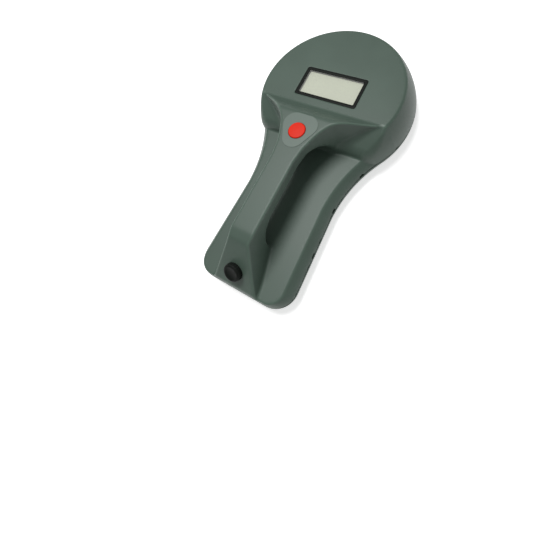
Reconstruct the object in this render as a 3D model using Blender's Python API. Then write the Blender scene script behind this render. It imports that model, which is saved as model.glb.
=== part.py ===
"""Handheld microchip scanner: a round reading head with a display, and a raised grip bar over a base.

Metres, +Z up. The origin is on the ground below the middle of the object, and +Y points to the head.
Lengths "along" the scanner are counted from the head's centre, negative towards the tail.
"""

import math

import bmesh
import bpy
from mathutils import Matrix, Vector

MM = 0.001

# ---------------------------------------------------------------- general fits
WALL = 2.2 * MM  # moulded casing wall
GAP = 0.3 * MM  # between two pieces that touch
SLIP = 0.4 * MM  # round a piece that moves

# ---------------------------------------------------------------- casing, seen from above
HEAD_RADIUS = 73 * MM  # at the widest line, where the two shells meet
TAIL_REACH = 188 * MM  # from the head's centre to the tail's end
NECK_RADIUS = 120 * MM  # hollow curve from the head into the base
BASE_HALF_WIDTH = 44 * MM
TAIL_HALF_WIDTH = 46.3 * MM
CORNER_RADIUS = 20 * MM

# ---------------------------------------------------------------- battery cells set the base's height
CELL_DIAMETER = 14.5 * MM
CELL_BODY = 48 * MM
CELL_NUB_DIAMETER = 5.5 * MM
CELL_NUB = 1.2 * MM
CELL_PITCH = CELL_DIAMETER + SLIP
CELL_COUNT = 4
CELL_HEADROOM = 0.7 * MM
TRAY_WALL = 1.6 * MM

# ---------------------------------------------------------------- casing, heights
FOOT_HEIGHT = 1.2 * MM  # what the feet stand proud of the underside
FLOOR_TOP = FOOT_HEIGHT + WALL
CELL_AXIS = FLOOR_TOP + GAP + CELL_DIAMETER / 2
TRAY_TOP = CELL_AXIS + CELL_DIAMETER / 2 + CELL_HEADROOM + TRAY_WALL
PLATFORM_TOP = TRAY_TOP + GAP + WALL
PARTING = 13 * MM
FACE_RISE = 20 * MM  # head's flat face above the platform
FACE_TOP = PLATFORM_TOP + FACE_RISE
GRIP_RISE = 14 * MM  # grip bar's top above the face
GRIP_TOP = FACE_TOP + GRIP_RISE
GRIP_ROOM = 6.6 * MM  # hollow inside the grip bar
GRIP_DEPTH = GRIP_ROOM + 2 * WALL
GRIP_UNDERSIDE = GRIP_TOP - GRIP_DEPTH

# ---------------------------------------------------------------- casing, side shapes
UNDERSIDE_INSET = 9 * MM  # rounding from the widest line down to the flat underside
PLATFORM_INSET = 7 * MM  # flare from the platform's edge out to the widest line
TAIL_SHARE = 0.3  # of that flare, across the tail's end
FACE_INSET = 8 * MM  # head's flat face inside its widest line
PARTING_STEP = 0.25 * MM
CHORD = -22 * MM  # where the flat face ends towards the grip
SHOULDER_END = -45.5 * MM
SHOULDER_DROP = 13 * MM
HEAD_REAR = -47.5 * MM  # foot of the head's rear wall on the platform
OPENING_TAIL = -TAIL_REACH + 43 * MM  # finger opening under the grip bar
OPENING_RADIUS = 22 * MM
BEND_STEPS = 6

# ---------------------------------------------------------------- tail facet
FACET_START = OPENING_TAIL - 8 * MM
FACET_END = -TAIL_REACH + 2 * MM
FACET_TOP_HALF_WIDTH = 9.7 * MM
FACET_END_HALF_WIDTH = 20.6 * MM
FACET_START_DROP = 2 * MM
FACET_DROP = 30 * MM
FACET_TILT = math.atan2(FACET_DROP, FACET_START - FACET_END)
GRIP_HALF_WIDTH = 10.5 * MM
GRIP_EDGE = 1.6 * MM

# ---------------------------------------------------------------- display
WINDOW_LENGTH = 54.1 * MM
WINDOW_WIDTH = 24.4 * MM
BEZEL_BORDER = 2.5 * MM
BEZEL_PROUD = 0.3 * MM
BEZEL_HEIGHT = 2.4 * MM
LENS_HEIGHT = 2 * MM
DISPLAY_ALONG = 0.8 * MM
DISPLAY_MARGIN = 1.45 * MM  # display cell's glass past the window
DISPLAY_THICK = 2.4 * MM
CARRIER_WALL = 2.7 * MM
CARRIER_FLOOR = 2 * MM

# ---------------------------------------------------------------- button
BUTTON_ALONG = -55 * MM
BUTTON_DIAMETER = 14.5 * MM
BUTTON_PROUD = 1.5 * MM
BUTTON_TRAVEL = 1.2 * MM
BUTTON_FLANGE = 1.5 * MM  # wider than the button, all round
BUTTON_FLANGE_HEIGHT = 1.5 * MM
PLATE_THICK = 0.6 * MM
PLATE_ROUND = BUTTON_DIAMETER / 2 + 2.25 * MM
PLATE_WIDE_ALONG = BUTTON_ALONG + 6 * MM
PLATE_WIDE_HALF = PLATE_ROUND + 5.5 * MM
PLATE_TIP_ALONG = BUTTON_ALONG - 5.5 * MM
SWITCH_BOARD_HALF = GRIP_HALF_WIDTH - WALL - GAP
SWITCH_BOARD_THICK = 1.2 * MM
SWITCH_SIDE = 6.2 * MM
SWITCH_HEIGHT = 2.6 * MM
PLUNGER_DIAMETER = 3.2 * MM
SPRING_WIRE = 0.7 * MM
SPRING_DIAMETER = BUTTON_DIAMETER - 1.5 * MM
SPRING_TURNS = 2

# ---------------------------------------------------------------- fasteners and feet
SCREW_DIAMETER = 3 * MM
SCREW_HEAD_DIAMETER = 5.6 * MM
SCREW_HEAD_HEIGHT = 2.5 * MM
SCREW_HEAD_BOTTOM = 2.7 * MM
SCREW_LENGTH = 14 * MM
BOSS_DIAMETER = 7.6 * MM
FOOT_DIAMETER = 9 * MM
FOOT_SEAT = 0.7 * MM

# ---------------------------------------------------------------- aerial coil round the inside of the head
COIL_OUTER = HEAD_RADIUS - WALL - 3.8 * MM
COIL_INNER = COIL_OUTER - 7.5 * MM
COIL_BOTTOM = 6.2 * MM
COIL_HEADROOM = 1.6 * MM  # under the platform
COIL_HEIGHT = PLATFORM_TOP - WALL - COIL_HEADROOM - COIL_BOTTOM
COIL_FLANGE = 1.6 * MM

# ---------------------------------------------------------------- where the screws and feet stand
SCREW_RING = COIL_INNER - BOSS_DIAMETER / 2 - 1.1 * MM
HEAD_SCREW_TURN = math.radians(45)
SHOULDER_SCREW_TURN = math.radians(-32)
FOOT_RING = HEAD_RADIUS - UNDERSIDE_INSET - FOOT_DIAMETER / 2 - 1.5 * MM
FOOT_TURN = math.radians(62)
CASE_SCREWS = (
    (SCREW_RING * math.cos(HEAD_SCREW_TURN), SCREW_RING * math.sin(HEAD_SCREW_TURN)),
    (SCREW_RING * math.cos(SHOULDER_SCREW_TURN), SCREW_RING * math.sin(SHOULDER_SCREW_TURN)),
    (30 * MM, -TAIL_REACH + 23 * MM),
)
FEET = (
    (FOOT_RING * math.cos(FOOT_TURN), FOOT_RING * math.sin(FOOT_TURN)),
    (24 * MM, -TAIL_REACH + 15 * MM),
)

# ---------------------------------------------------------------- electronics in the head
BOARD_LENGTH = 2 * (CASE_SCREWS[1][0] - BOSS_DIAMETER / 2 - 1.2 * MM)
BOARD_WIDTH = 62 * MM
BOARD_THICK = 1.6 * MM
BOARD_BOTTOM = FACE_TOP - 16 * MM
BOARD_TOP = BOARD_BOTTOM + BOARD_THICK
BOARD_HOLE_X = BOARD_LENGTH / 2 - 6 * MM
BOARD_HOLE_Y = BOARD_WIDTH / 2 - 5 * MM
BOARD_SCREW_DIAMETER = 2.2 * MM
BOARD_SCREW_LENGTH = 8 * MM
POST_DIAMETER = 6 * MM
BUZZER_DIAMETER = 20 * MM
BUZZER_HEIGHT = 6.4 * MM

# ---------------------------------------------------------------- tail socket and its cap
SOCKET_ALONG = FACET_END + 12 * MM
SOCKET_DIAMETER = 9 * MM
SOCKET_BORE = 6 * MM
SOCKET_DEPTH = 12 * MM
SOCKET_RIM_DIAMETER = 11.5 * MM
SOCKET_RIM = 0.9 * MM
NUT_FLATS = 13 * MM
NUT_HEIGHT = 2.3 * MM
CAP_DIAMETER = 15.6 * MM
CAP_HEIGHT = 5 * MM
CAP_STEM = 5 * MM

# ---------------------------------------------------------------- battery bay
SPRING_ROOM = 6.3 * MM
CONTACT_THICK = 0.5 * MM
CONTACT_HEIGHT = CELL_DIAMETER - 1.5 * MM
BAY_LENGTH = CELL_BODY + CELL_NUB + SPRING_ROOM + 2 * CONTACT_THICK + 5 * GAP
BAY_REAR = -TAIL_REACH + 36 * MM
BAY_FRONT = BAY_REAR + BAY_LENGTH
BAY_HALF_WIDTH = (CELL_COUNT * CELL_PITCH + 2 * GAP) / 2
DOOR_LEDGE = 0.4 * MM  # bay's opening beyond the bay, each side
DOOR_PIN_DIAMETER = 1.2 * MM
DOOR_PIN_LENGTH = 1.1 * MM

# ---------------------------------------------------------------- cover of the cable way in the grip bar
COVER_HALF_WIDTH = 0.6 * GRIP_HALF_WIDTH
COVER_FRONT = HEAD_REAR - 28.5 * MM
COVER_REAR = OPENING_TAIL + 27 * MM

HEAD_Y = (TAIL_REACH - HEAD_RADIUS) / 2
GRAPHITE = (0.012, 0.013, 0.012)
CASING_GREEN = (0.125, 0.165, 0.14)


def along(distance):
    """World Y of a distance along the scanner from the head's centre."""
    return HEAD_Y + distance


# ---------------------------------------------------------------- making objects


def clear_scene():
    for old in list(bpy.data.objects):
        bpy.data.objects.remove(old, do_unlink=True)


def material(name, color, roughness=0.5, metallic=0.0):
    made = bpy.data.materials.new(name)
    made.use_nodes = True
    shader = made.node_tree.nodes["Principled BSDF"]
    shader.inputs["Base Color"].default_value = (*color, 1)
    shader.inputs["Roughness"].default_value = roughness
    shader.inputs["Metallic"].default_value = metallic
    return made


def object_from(name, bm, finish=None):
    bmesh.ops.recalc_face_normals(bm, faces=bm.faces)
    mesh = bpy.data.meshes.new(name)
    bm.to_mesh(mesh)
    bm.free()
    mesh.shade_smooth()
    mesh.set_sharp_from_angle(angle=math.radians(35))
    made = bpy.data.objects.new(name, mesh)
    bpy.context.scene.collection.objects.link(made)
    if finish:
        mesh.materials.append(finish)
    return made


def helper(made):
    made.hide_render = True
    made.display_type = "WIRE"
    return made


def boolean(target, operation, *others):
    for other in others:
        modifier = target.modifiers.new(f"{operation.lower()} {other.name}", "BOOLEAN")
        modifier.operation = operation
        modifier.object = helper(other)
    return target


def cut(target, *cutters):
    return boolean(target, "DIFFERENCE", *cutters)


def join(target, *others):
    return boolean(target, "UNION", *others)


def add_loft(bm, loops):
    """Skin through closed loops that have as many points each, with flat ends."""
    rings = [[bm.verts.new(point) for point in loop] for loop in loops]
    for lower, upper in zip(rings, rings[1:]):
        for i, start in enumerate(lower):
            j = (i + 1) % len(lower)
            bm.faces.new((start, lower[j], upper[j], upper[i]))
    bm.faces.new(rings[0][::-1])
    bm.faces.new(rings[-1])


def loft(name, loops, finish=None):
    bm = bmesh.new()
    add_loft(bm, loops)
    return object_from(name, bm, finish)


def box_loops(low, high):
    return [
        [(low[0], low[1], z), (high[0], low[1], z), (high[0], high[1], z), (low[0], high[1], z)]
        for z in (low[2], high[2])
    ]


def box(name, low, high, finish=None):
    return loft(name, box_loops(low, high), finish)


def boxes(name, corners, finish=None):
    bm = bmesh.new()
    for low, high in corners:
        add_loft(bm, box_loops(low, high))
    return object_from(name, bm, finish)


def circle(radius, z, sides=32, center=(0, 0)):
    turn = 2 * math.pi / sides
    return [
        (center[0] + radius * math.cos(i * turn), center[1] + radius * math.sin(i * turn), z)
        for i in range(sides)
    ]


def turned(name, profile, finish=None, sides=32, center=(0, 0)):
    """Solid of revolution about Z, from (radius, z) pairs listed upwards."""
    return loft(name, [circle(radius, z, sides, center) for radius, z in profile], finish)


def turned_ring(name, profile, finish=None, sides=32, center=(0, 0)):
    """Ring about Z, from the closed (radius, z) outline of its section."""
    bm = bmesh.new()
    rings = [[bm.verts.new(point) for point in circle(r, z, sides, center)] for r, z in profile]
    for first, second in zip(rings, rings[1:] + rings[:1]):
        for i in range(sides):
            j = (i + 1) % sides
            bm.faces.new((first[i], first[j], second[j], second[i]))
    return object_from(name, bm, finish)


def rods(name, places, radius, low, high, sides=20):
    bm = bmesh.new()
    for place in places:
        add_loft(bm, [circle(radius, z, sides, place) for z in (low, high)])
    return object_from(name, bm)


def rounded_rectangle(half_x, half_y, corner, z, center=(0, 0), steps=4):
    points = []
    for quarter, (sx, sy) in enumerate(((1, 1), (-1, 1), (-1, -1), (1, -1))):
        for step in range(steps + 1):
            turn = math.pi / 2 * (quarter + step / steps)
            points.append(
                (
                    center[0] + sx * (half_x - corner) + corner * math.cos(turn),
                    center[1] + sy * (half_y - corner) + corner * math.sin(turn),
                    z,
                )
            )
    return points


def slab(name, half_x, half_y, corner, low, high, center=(0, 0), finish=None):
    loops = [rounded_rectangle(half_x, half_y, corner, z, center) for z in (low, high)]
    return loft(name, loops, finish)


def prism_x(name, profile, half_width, finish=None):
    """Solid across the scanner from a closed (y, z) outline."""
    return loft(name, [[(x, y, z) for y, z in profile] for x in (-half_width, half_width)], finish)


def arc(center, radius, start, end, steps):
    """Points of an arc, angles in degrees."""
    return [
        (
            center[0] + radius * math.cos(math.radians(start + (end - start) * i / steps)),
            center[1] + radius * math.sin(math.radians(start + (end - start) * i / steps)),
        )
        for i in range(steps + 1)
    ]


def tube(name, points, radius, finish):
    """Cable on a smooth curve through its route's points."""
    curve = bpy.data.curves.new(name, "CURVE")
    curve.dimensions = "3D"
    curve.bevel_depth = radius
    curve.bevel_resolution = 1
    curve.use_fill_caps = True
    route = smooth_route([Vector(point) for point in points])
    spline = curve.splines.new("POLY")
    spline.points.add(len(route) - 1)
    for target, point in zip(spline.points, route):
        target.co = (*point, 1)
    curve.materials.append(finish)
    made = bpy.data.objects.new(name, curve)
    bpy.context.scene.collection.objects.link(made)
    return made


def smooth_route(points, steps=5):
    """Catmull-Rom curve through the points."""
    ends = [2 * points[0] - points[1], *points, 2 * points[-1] - points[-2]]
    route = []
    for a, b, c, d in zip(ends, ends[1:], ends[2:], ends[3:]):
        bend = 2 * a - 5 * b + 4 * c - d
        twist = 3 * b - a - 3 * c + d
        for i in range(steps):
            t = i / steps
            route.append(0.5 * (2 * b + (c - a) * t + bend * t**2 + twist * t**3))
    return [*route, points[-1]]


def coil(name, radius, wire, low, high, turns, finish, taper=1.0, segments=14, sides=6):
    """Helical spring about Z, its outermost surface touching low and high; taper narrows its top."""
    bm = bmesh.new()
    count = turns * segments
    rise = high - low - wire
    rings = []
    for i in range(count + 1):
        t = i / count
        turn = 2 * math.pi * i / segments
        out = Vector((math.cos(turn), math.sin(turn), 0))
        reach = (radius - wire / 2) * (1 + (taper - 1) * t)
        middle = reach * out + Vector((0, 0, low + wire / 2 + rise * t))
        ring = []
        for k in range(sides):
            around = 2 * math.pi * k / sides
            ring.append(middle + wire / 2 * (math.cos(around) * out + Vector((0, 0, math.sin(around)))))
        rings.append(ring)
    add_loft(bm, rings)
    return object_from(name, bm, finish)


def mirrored(points):
    return [place for x, y in points for place in ((x, along(y)), (-x, along(y)))]


# ---------------------------------------------------------------- casing outline


def outline(inset, z, tail_share=1.0):
    """The casing's outline from above, moved inwards by inset, as a loop at height z.

    Across the tail's end it moves in by tail_share of that.
    """
    neck_x = BASE_HALF_WIDTH + NECK_RADIUS
    neck_y = -math.sqrt((HEAD_RADIUS + NECK_RADIUS) ** 2 - neck_x**2)
    meeting = math.degrees(math.atan2(neck_y, neck_x))
    corner = (TAIL_HALF_WIDTH - CORNER_RADIUS, -TAIL_REACH + CORNER_RADIUS - (1 - tail_share) * inset)
    half = arc(corner, CORNER_RADIUS - inset, -90, 0, BEND_STEPS)
    half += arc((neck_x, neck_y), NECK_RADIUS + inset, 180, 180 + meeting, BEND_STEPS)[:-1]
    half += arc((0, 0), HEAD_RADIUS - inset, meeting, 90, 2 * BEND_STEPS)
    left = [(-x, y) for x, y in reversed(half[:-1])]
    return [(x, along(y), z) for x, y in half + left]


def flare(z):
    """How far the upper shell's wall stands in from the widest line at a height, along the base."""
    share = max(z - PARTING, 0) / (PLATFORM_TOP - PARTING)
    return PARTING_STEP + (PLATFORM_INSET - PARTING_STEP) * share**1.5


def dome(z):
    """The same, round the head."""
    share = max(z - PARTING, 0) / (FACE_TOP - PARTING)
    return FACE_INSET * share**2


def between(low, high, steps):
    return [low + (high - low) * i / steps for i in range(steps + 1)]


def lower_shape(name, inset, bottom, top):
    """The lower shell's form, rounded from the flat underside up to the widest line."""
    loops = []
    for share in between(0, 1, 4):
        z = bottom + (PARTING - bottom) * share
        loops.append(outline(inset + UNDERSIDE_INSET * (1 - math.sqrt(1 - (1 - share) ** 2)), z))
    loops[-1] = outline(inset, top)
    return loft(name, loops)


# ---------------------------------------------------------------- grip and tail post


def grip_stations():
    """Sections along the grip: distance, half width on top, top height, half width at the foot."""
    spread = GRIP_HALF_WIDTH
    flat = GRIP_TOP
    flared = [
        (CHORD + 3 * MM, spread + 48 * MM, FACE_TOP - 3 * MM, spread + 54 * MM),
        (CHORD - 1 * MM, spread + 47 * MM, FACE_TOP + 0.3 * MM, spread + 54 * MM),
        (CHORD - 5.5 * MM, spread + 37 * MM, FACE_TOP + 4 * MM, spread + 48 * MM),
        (CHORD - 10.5 * MM, spread + 27 * MM, FACE_TOP + 9.5 * MM, spread + 40 * MM),
        (CHORD - 16 * MM, spread + 18.5 * MM, flat, spread + 31 * MM),
        (CHORD - 21.5 * MM, spread + 12.5 * MM, flat, spread + 22 * MM),
        (CHORD - 28 * MM, spread + 8.3 * MM, flat, spread + 14 * MM),
        (CHORD - 34 * MM, spread + 5.8 * MM, flat, spread + 9 * MM),
        (CHORD - 46 * MM, spread + 1.8 * MM, flat, spread + 3 * MM),
        (CHORD - 59 * MM, spread, flat, spread + 0.8 * MM),
    ]
    narrow = [
        (OPENING_TAIL, spread, flat, spread + 2 * MM),
        (FACET_START, FACET_TOP_HALF_WIDTH, flat - FACET_START_DROP, spread + 5 * MM),
        (FACET_END, FACET_END_HALF_WIDTH, flat - FACET_START_DROP - FACET_DROP, spread + 15 * MM),
    ]
    facet = [interpolated(narrow[-2], narrow[-1], share) for share in between(0, 1, 5)]
    post = [interpolated(narrow[0], narrow[1], share) for share in between(0, 1, 2)]
    return flared + post + facet[1:]


def interpolated(first, second, share):
    return tuple(a + (b - a) * share for a, b in zip(first, second))


def section(distance, top_half, top, foot_half, foot):
    """One loop across the grip, its top edges rounded."""
    right = [
        (foot_half, foot),
        (top_half + 0.12 * (foot_half - top_half), top - GRIP_EDGE),
        (top_half - 0.3 * GRIP_EDGE, top - 0.3 * GRIP_EDGE),
        (top_half - GRIP_EDGE, top),
    ]
    left = [(-x, z) for x, z in reversed(right)]
    return [(x, along(distance), z) for x, z in right + left]


def grip_solid(name, foot, inset=0.0):
    """The grip bar with its flare into the head and its tail post, as one raised form."""
    loops = []
    stations = grip_stations()
    slope_inset = inset / math.cos(FACET_TILT)
    for i, (distance, top_half, top, foot_half) in enumerate(stations):
        sloping = top < GRIP_TOP
        drop = slope_inset if sloping else inset
        if i == 0:
            distance -= inset
        if i == len(stations) - 1:
            distance += inset
            drop -= inset * math.tan(FACET_TILT)
        loops.append(section(distance, top_half - inset, top - drop, foot_half - inset, foot))
    return loft(name, loops)


def opening_profile(grown, floor):
    """Side view of the finger opening under the grip bar, with quarter rounds at both ends."""
    radius = OPENING_RADIUS + grown
    middle = GRIP_UNDERSIDE - OPENING_RADIUS
    tail = (along(OPENING_TAIL) + OPENING_RADIUS, middle)
    head = (along(HEAD_REAR) - OPENING_RADIUS, middle)
    return [
        (tail[0] - radius, floor),
        *arc(tail, radius, 180, 90, BEND_STEPS),
        *arc(head, radius, 90, 0, BEND_STEPS),
        (head[0] + radius, floor),
    ]


def shoulder_profile(shift_y=0.0, shift_z=0.0):
    """Side view of what is taken off the head behind the chord: a slope, then the rear wall."""
    far = HEAD_REAR - HEAD_RADIUS
    points = [
        (CHORD + shift_y, FACE_TOP + shift_z),
        (SHOULDER_END + shift_y, FACE_TOP - SHOULDER_DROP + shift_z),
        (HEAD_REAR + shift_y, FACE_TOP - SHOULDER_DROP - 3 * MM + shift_z),
        (HEAD_REAR + shift_y, 0),
        (far, 0),
        (far, GRIP_TOP),
        (CHORD + shift_y, GRIP_TOP),
    ]
    return [(along(y), z) for y, z in points]


def facet_frame():
    """Place and tilt of the tail facet at the socket: local Z points out of the facet."""
    reach = (FACET_START - SOCKET_ALONG) / (FACET_START - FACET_END)
    height = GRIP_TOP - FACET_START_DROP - FACET_DROP * reach
    return Matrix.Translation((0, along(SOCKET_ALONG), height)) @ Matrix.Rotation(FACET_TILT, 4, "X")


# ---------------------------------------------------------------- casing shells


def head_solid(name, inset, low, high):
    heights = between(low, high, 5)
    loops = []
    for z in heights:
        radius = HEAD_RADIUS - dome(z + inset) - inset if inset else HEAD_RADIUS - dome(z)
        loops.append(circle(radius, z, 56, (0, HEAD_Y)))
    return loft(name, loops)


def head_form(name, inset, low, high):
    made = head_solid(name, inset, low, high)
    shift = (inset, -0.62 * inset)
    return cut(made, prism_x(f"{name} shoulder", shoulder_profile(*shift), 1.2 * HEAD_RADIUS))


def grip_form(name, foot, inset=0.0):
    made = grip_solid(name, foot, inset)
    profile = opening_profile(inset, PARTING)
    return cut(made, prism_x(f"{name} opening", profile, HEAD_RADIUS))


def upper_housing(finish):
    low = PARTING + GAP / 2
    heights = between(low, PLATFORM_TOP, 4)
    shell = loft("upper_housing", [outline(flare(z), z, TAIL_SHARE) for z in heights], finish)
    join(shell, head_form("head outside", 0.0, low, FACE_TOP), grip_form("grip outside", PARTING + 2 * MM))
    inner = [
        outline(flare(z + WALL / 2) + WALL + PARTING_STEP, z, TAIL_SHARE)
        for z in between(low - 2 * MM, PLATFORM_TOP - WALL, 3)
    ]
    cut(
        shell,
        loft("base inside", inner),
        head_form("head inside", WALL, low - 1 * MM, FACE_TOP - WALL),
        grip_form("grip inside", PARTING + 4 * MM, WALL),
    )
    cut_face_openings(shell)
    add_upper_bosses(shell)
    return shell


def cut_face_openings(shell):
    half_x = WINDOW_LENGTH / 2 + BEZEL_BORDER + GAP
    half_y = WINDOW_WIDTH / 2 + BEZEL_BORDER + GAP
    low = FACE_TOP - 2 * WALL
    middle = (0, along(DISPLAY_ALONG))
    cut(shell, slab("display hole", half_x, half_y, 2 * MM, low, FACE_TOP + WALL, middle))
    cut(shell, loft("plate seat", plate_loops(GAP, GRIP_TOP - PLATE_THICK, GRIP_TOP + WALL)))
    hole = BUTTON_DIAMETER / 2 + GAP
    low, high = GRIP_TOP - 2 * WALL, GRIP_TOP + WALL
    cut(shell, rods("button hole", [(0, along(BUTTON_ALONG))], hole, low, high, 32))
    cut(shell, box("cover slot", *cover_corners(GAP, GRIP_UNDERSIDE - WALL, GRIP_UNDERSIDE + 2 * WALL)))
    radius = SOCKET_DIAMETER / 2 + GAP
    socket = turned("socket hole", [(radius, -3 * WALL), (radius, WALL)])
    socket.matrix_world = facet_frame()
    cut(shell, socket)


def add_upper_bosses(shell):
    low = PARTING + GAP / 2
    roofs = (FACE_TOP, FACE_TOP, PLATFORM_TOP)
    for name, place, roof in zip(("head", "shoulder", "tail"), CASE_SCREWS, roofs):
        bosses = rods(f"{name} bosses", mirrored([place]), BOSS_DIAMETER / 2, low, roof - 0.7 * WALL)
        if name == "shoulder":
            sloping = shoulder_profile(WALL / 2, -0.3 * WALL)
            cut(bosses, prism_x("boss roof", sloping, HEAD_RADIUS))
        join(shell, bosses)
    top = SCREW_HEAD_BOTTOM + SCREW_HEAD_HEIGHT + SCREW_LENGTH + 2 * GAP
    pilot = SCREW_DIAMETER / 2 + GAP
    cut(shell, rods("upper pilot holes", mirrored(CASE_SCREWS), pilot, PARTING - WALL, top, 16))


def lower_housing(finish):
    top = PARTING - GAP / 2
    shell = lower_shape("lower_housing", 0.0, FOOT_HEIGHT, top)
    shell.data.materials.append(finish)
    cut(shell, lower_shape("lower inside", WALL, FLOOR_TOP, top + WALL))
    join(shell, rods("lower bosses", mirrored(CASE_SCREWS), BOSS_DIAMETER / 2, FLOOR_TOP - WALL / 2, top))
    posts = mirrored([(BOARD_HOLE_X, BOARD_HOLE_Y), (BOARD_HOLE_X, -BOARD_HOLE_Y)])
    join(shell, rods("board posts", posts, POST_DIAMETER / 2, FLOOR_TOP - WALL / 2, BOARD_BOTTOM - GAP))
    join(shell, boxes("coil pads", coil_pads()))
    head_top = SCREW_HEAD_BOTTOM + SCREW_HEAD_HEIGHT + GAP
    radius = SCREW_HEAD_DIAMETER / 2 + GAP
    cut(shell, rods("screw head holes", mirrored(CASE_SCREWS), radius, -WALL, head_top))
    shank = SCREW_DIAMETER / 2 + GAP
    cut(shell, rods("screw holes", mirrored(CASE_SCREWS), shank, FLOOR_TOP, top + WALL, 16))
    post_hole = BOARD_SCREW_DIAMETER / 2 + GAP
    cut(shell, rods("post holes", posts, post_hole, BOARD_TOP - BOARD_SCREW_LENGTH - GAP, BOARD_TOP, 12))
    seats = FOOT_DIAMETER / 2 + GAP
    cut(shell, rods("foot seats", mirrored(FEET), seats, -WALL, FOOT_HEIGHT + FOOT_SEAT))
    cut(shell, *door_cutters())
    return shell


def coil_pads():
    """Corners of the four pads that carry the aerial coil, at the head's front and sides."""
    middle = (COIL_OUTER + COIL_INNER) / 2
    low, high = FLOOR_TOP - WALL / 2, COIL_BOTTOM - GAP
    pads = []
    for turn in (30, 75, 105, 150):
        x = middle * math.cos(math.radians(turn)) * 0.95
        y = HEAD_Y + middle * math.sin(math.radians(turn)) * 0.95
        pads.append(((x - 2 * MM, y - 2 * MM, low), (x + 2 * MM, y + 2 * MM, high)))
    return pads


# ---------------------------------------------------------------- battery door


def door_hinge():
    """World (y, z) of the door's hinge axis, along X."""
    return along(BAY_FRONT) - WALL / 2 - SLIP, FOOT_HEIGHT + WALL / 2


def door_cutters():
    half = BAY_HALF_WIDTH + DOOR_LEDGE
    front, rear = along(BAY_FRONT), along(BAY_REAR) - DOOR_LEDGE
    opening = box("door opening", (-half, rear, -WALL), (half, front, FLOOR_TOP + WALL))
    y, z = door_hinge()
    wide = DOOR_PIN_DIAMETER / 2 + GAP
    reach = half + DOOR_PIN_LENGTH
    slot = box("pin slots", (-reach, y - wide, z - wide), (reach, y + wide, FLOOR_TOP + WALL))
    notch = turned(
        "finger notch",
        [(9 * MM, -WALL), (9 * MM, FOOT_HEIGHT), (7.5 * MM, FOOT_HEIGHT + 0.5 * WALL)],
        center=(0, rear - 2 * MM),
    )
    return opening, slot, notch


def battery_door(finish):
    y, z = door_hinge()
    half = BAY_HALF_WIDTH + DOOR_LEDGE - SLIP
    rear = along(BAY_REAR) - DOOR_LEDGE + SLIP
    edge = arc((y, z), WALL / 2, -90, 90, BEND_STEPS)
    profile = [(rear, FOOT_HEIGHT), *edge, (rear, FLOOR_TOP)]
    door = prism_x("battery_door", profile, half, finish)
    reach, radius = half + DOOR_PIN_LENGTH - SLIP, DOOR_PIN_DIAMETER / 2
    pin = turned("door pin", [(radius, -reach), (radius, reach)], sides=12)
    pin.matrix_world = Matrix.Translation((0, y, z)) @ Matrix.Rotation(math.pi / 2, 4, "Y")
    return join(door, pin)


# ---------------------------------------------------------------- display pieces


def display_pieces(black, clear, glass, grey):
    middle = (0, along(DISPLAY_ALONG))
    half_x, half_y = WINDOW_LENGTH / 2, WINDOW_WIDTH / 2
    bezel_low = FACE_TOP + BEZEL_PROUD - BEZEL_HEIGHT
    bezel_high = FACE_TOP + BEZEL_PROUD
    outer = (half_x + BEZEL_BORDER, half_y + BEZEL_BORDER)
    bezel = slab("lcd_frame", *outer, 1.7 * MM, bezel_low, bezel_high, middle, black)
    cut(bezel, slab("window hole", half_x, half_y, 0.8 * MM, bezel_low - WALL, bezel_high + WALL, middle))
    lens = (half_x - GAP, half_y - GAP, 0.6 * MM)
    slab("lcd_lens", *lens, bezel_low, bezel_low + LENS_HEIGHT, middle, clear)
    cell_top = bezel_low - GAP
    cell = (half_x + DISPLAY_MARGIN, half_y + DISPLAY_MARGIN)
    slab("lcd_cell", *cell, 0.5 * MM, cell_top - DISPLAY_THICK, cell_top, middle, glass)
    floor = cell_top - DISPLAY_THICK - GAP - CARRIER_FLOOR
    roof = FACE_TOP - WALL - GAP
    wide = (cell[0] + GAP + CARRIER_WALL, cell[1] + GAP + CARRIER_WALL)
    carrier = slab("lcd_carrier", *wide, 1.5 * MM, floor, roof, middle, grey)
    inner = (cell[0] + GAP, cell[1] + GAP, 0.6 * MM)
    cut(carrier, slab("carrier pocket", *inner, floor + CARRIER_FLOOR, roof + WALL, middle))
    return floor


# ---------------------------------------------------------------- button pieces


def plate_loops(grown, low, high):
    """Outline of the button's plate: wide towards the head and rounded to a tip towards the tail."""
    round_wide = PLATE_ROUND + grown
    wide_x = PLATE_WIDE_HALF - PLATE_ROUND
    right = arc((0, PLATE_TIP_ALONG), round_wide, -90, -20, BEND_STEPS)
    right += arc((wide_x, PLATE_WIDE_ALONG), round_wide, -20, 90, 2 * BEND_STEPS)
    left = [(-x, y) for x, y in reversed(right[1:])]
    return [[(x, along(y), z) for x, y in right + left] for z in (low, high)]


def button_plate(finish):
    low, high = GRIP_TOP - PLATE_THICK + GAP, GRIP_TOP + GAP
    plate = loft("button_plate", plate_loops(0.0, low, high), finish)
    hole = BUTTON_DIAMETER / 2 + GAP
    cut(plate, rods("plate hole", [(0, along(BUTTON_ALONG))], hole, low - WALL, high + WALL, 32))


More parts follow.
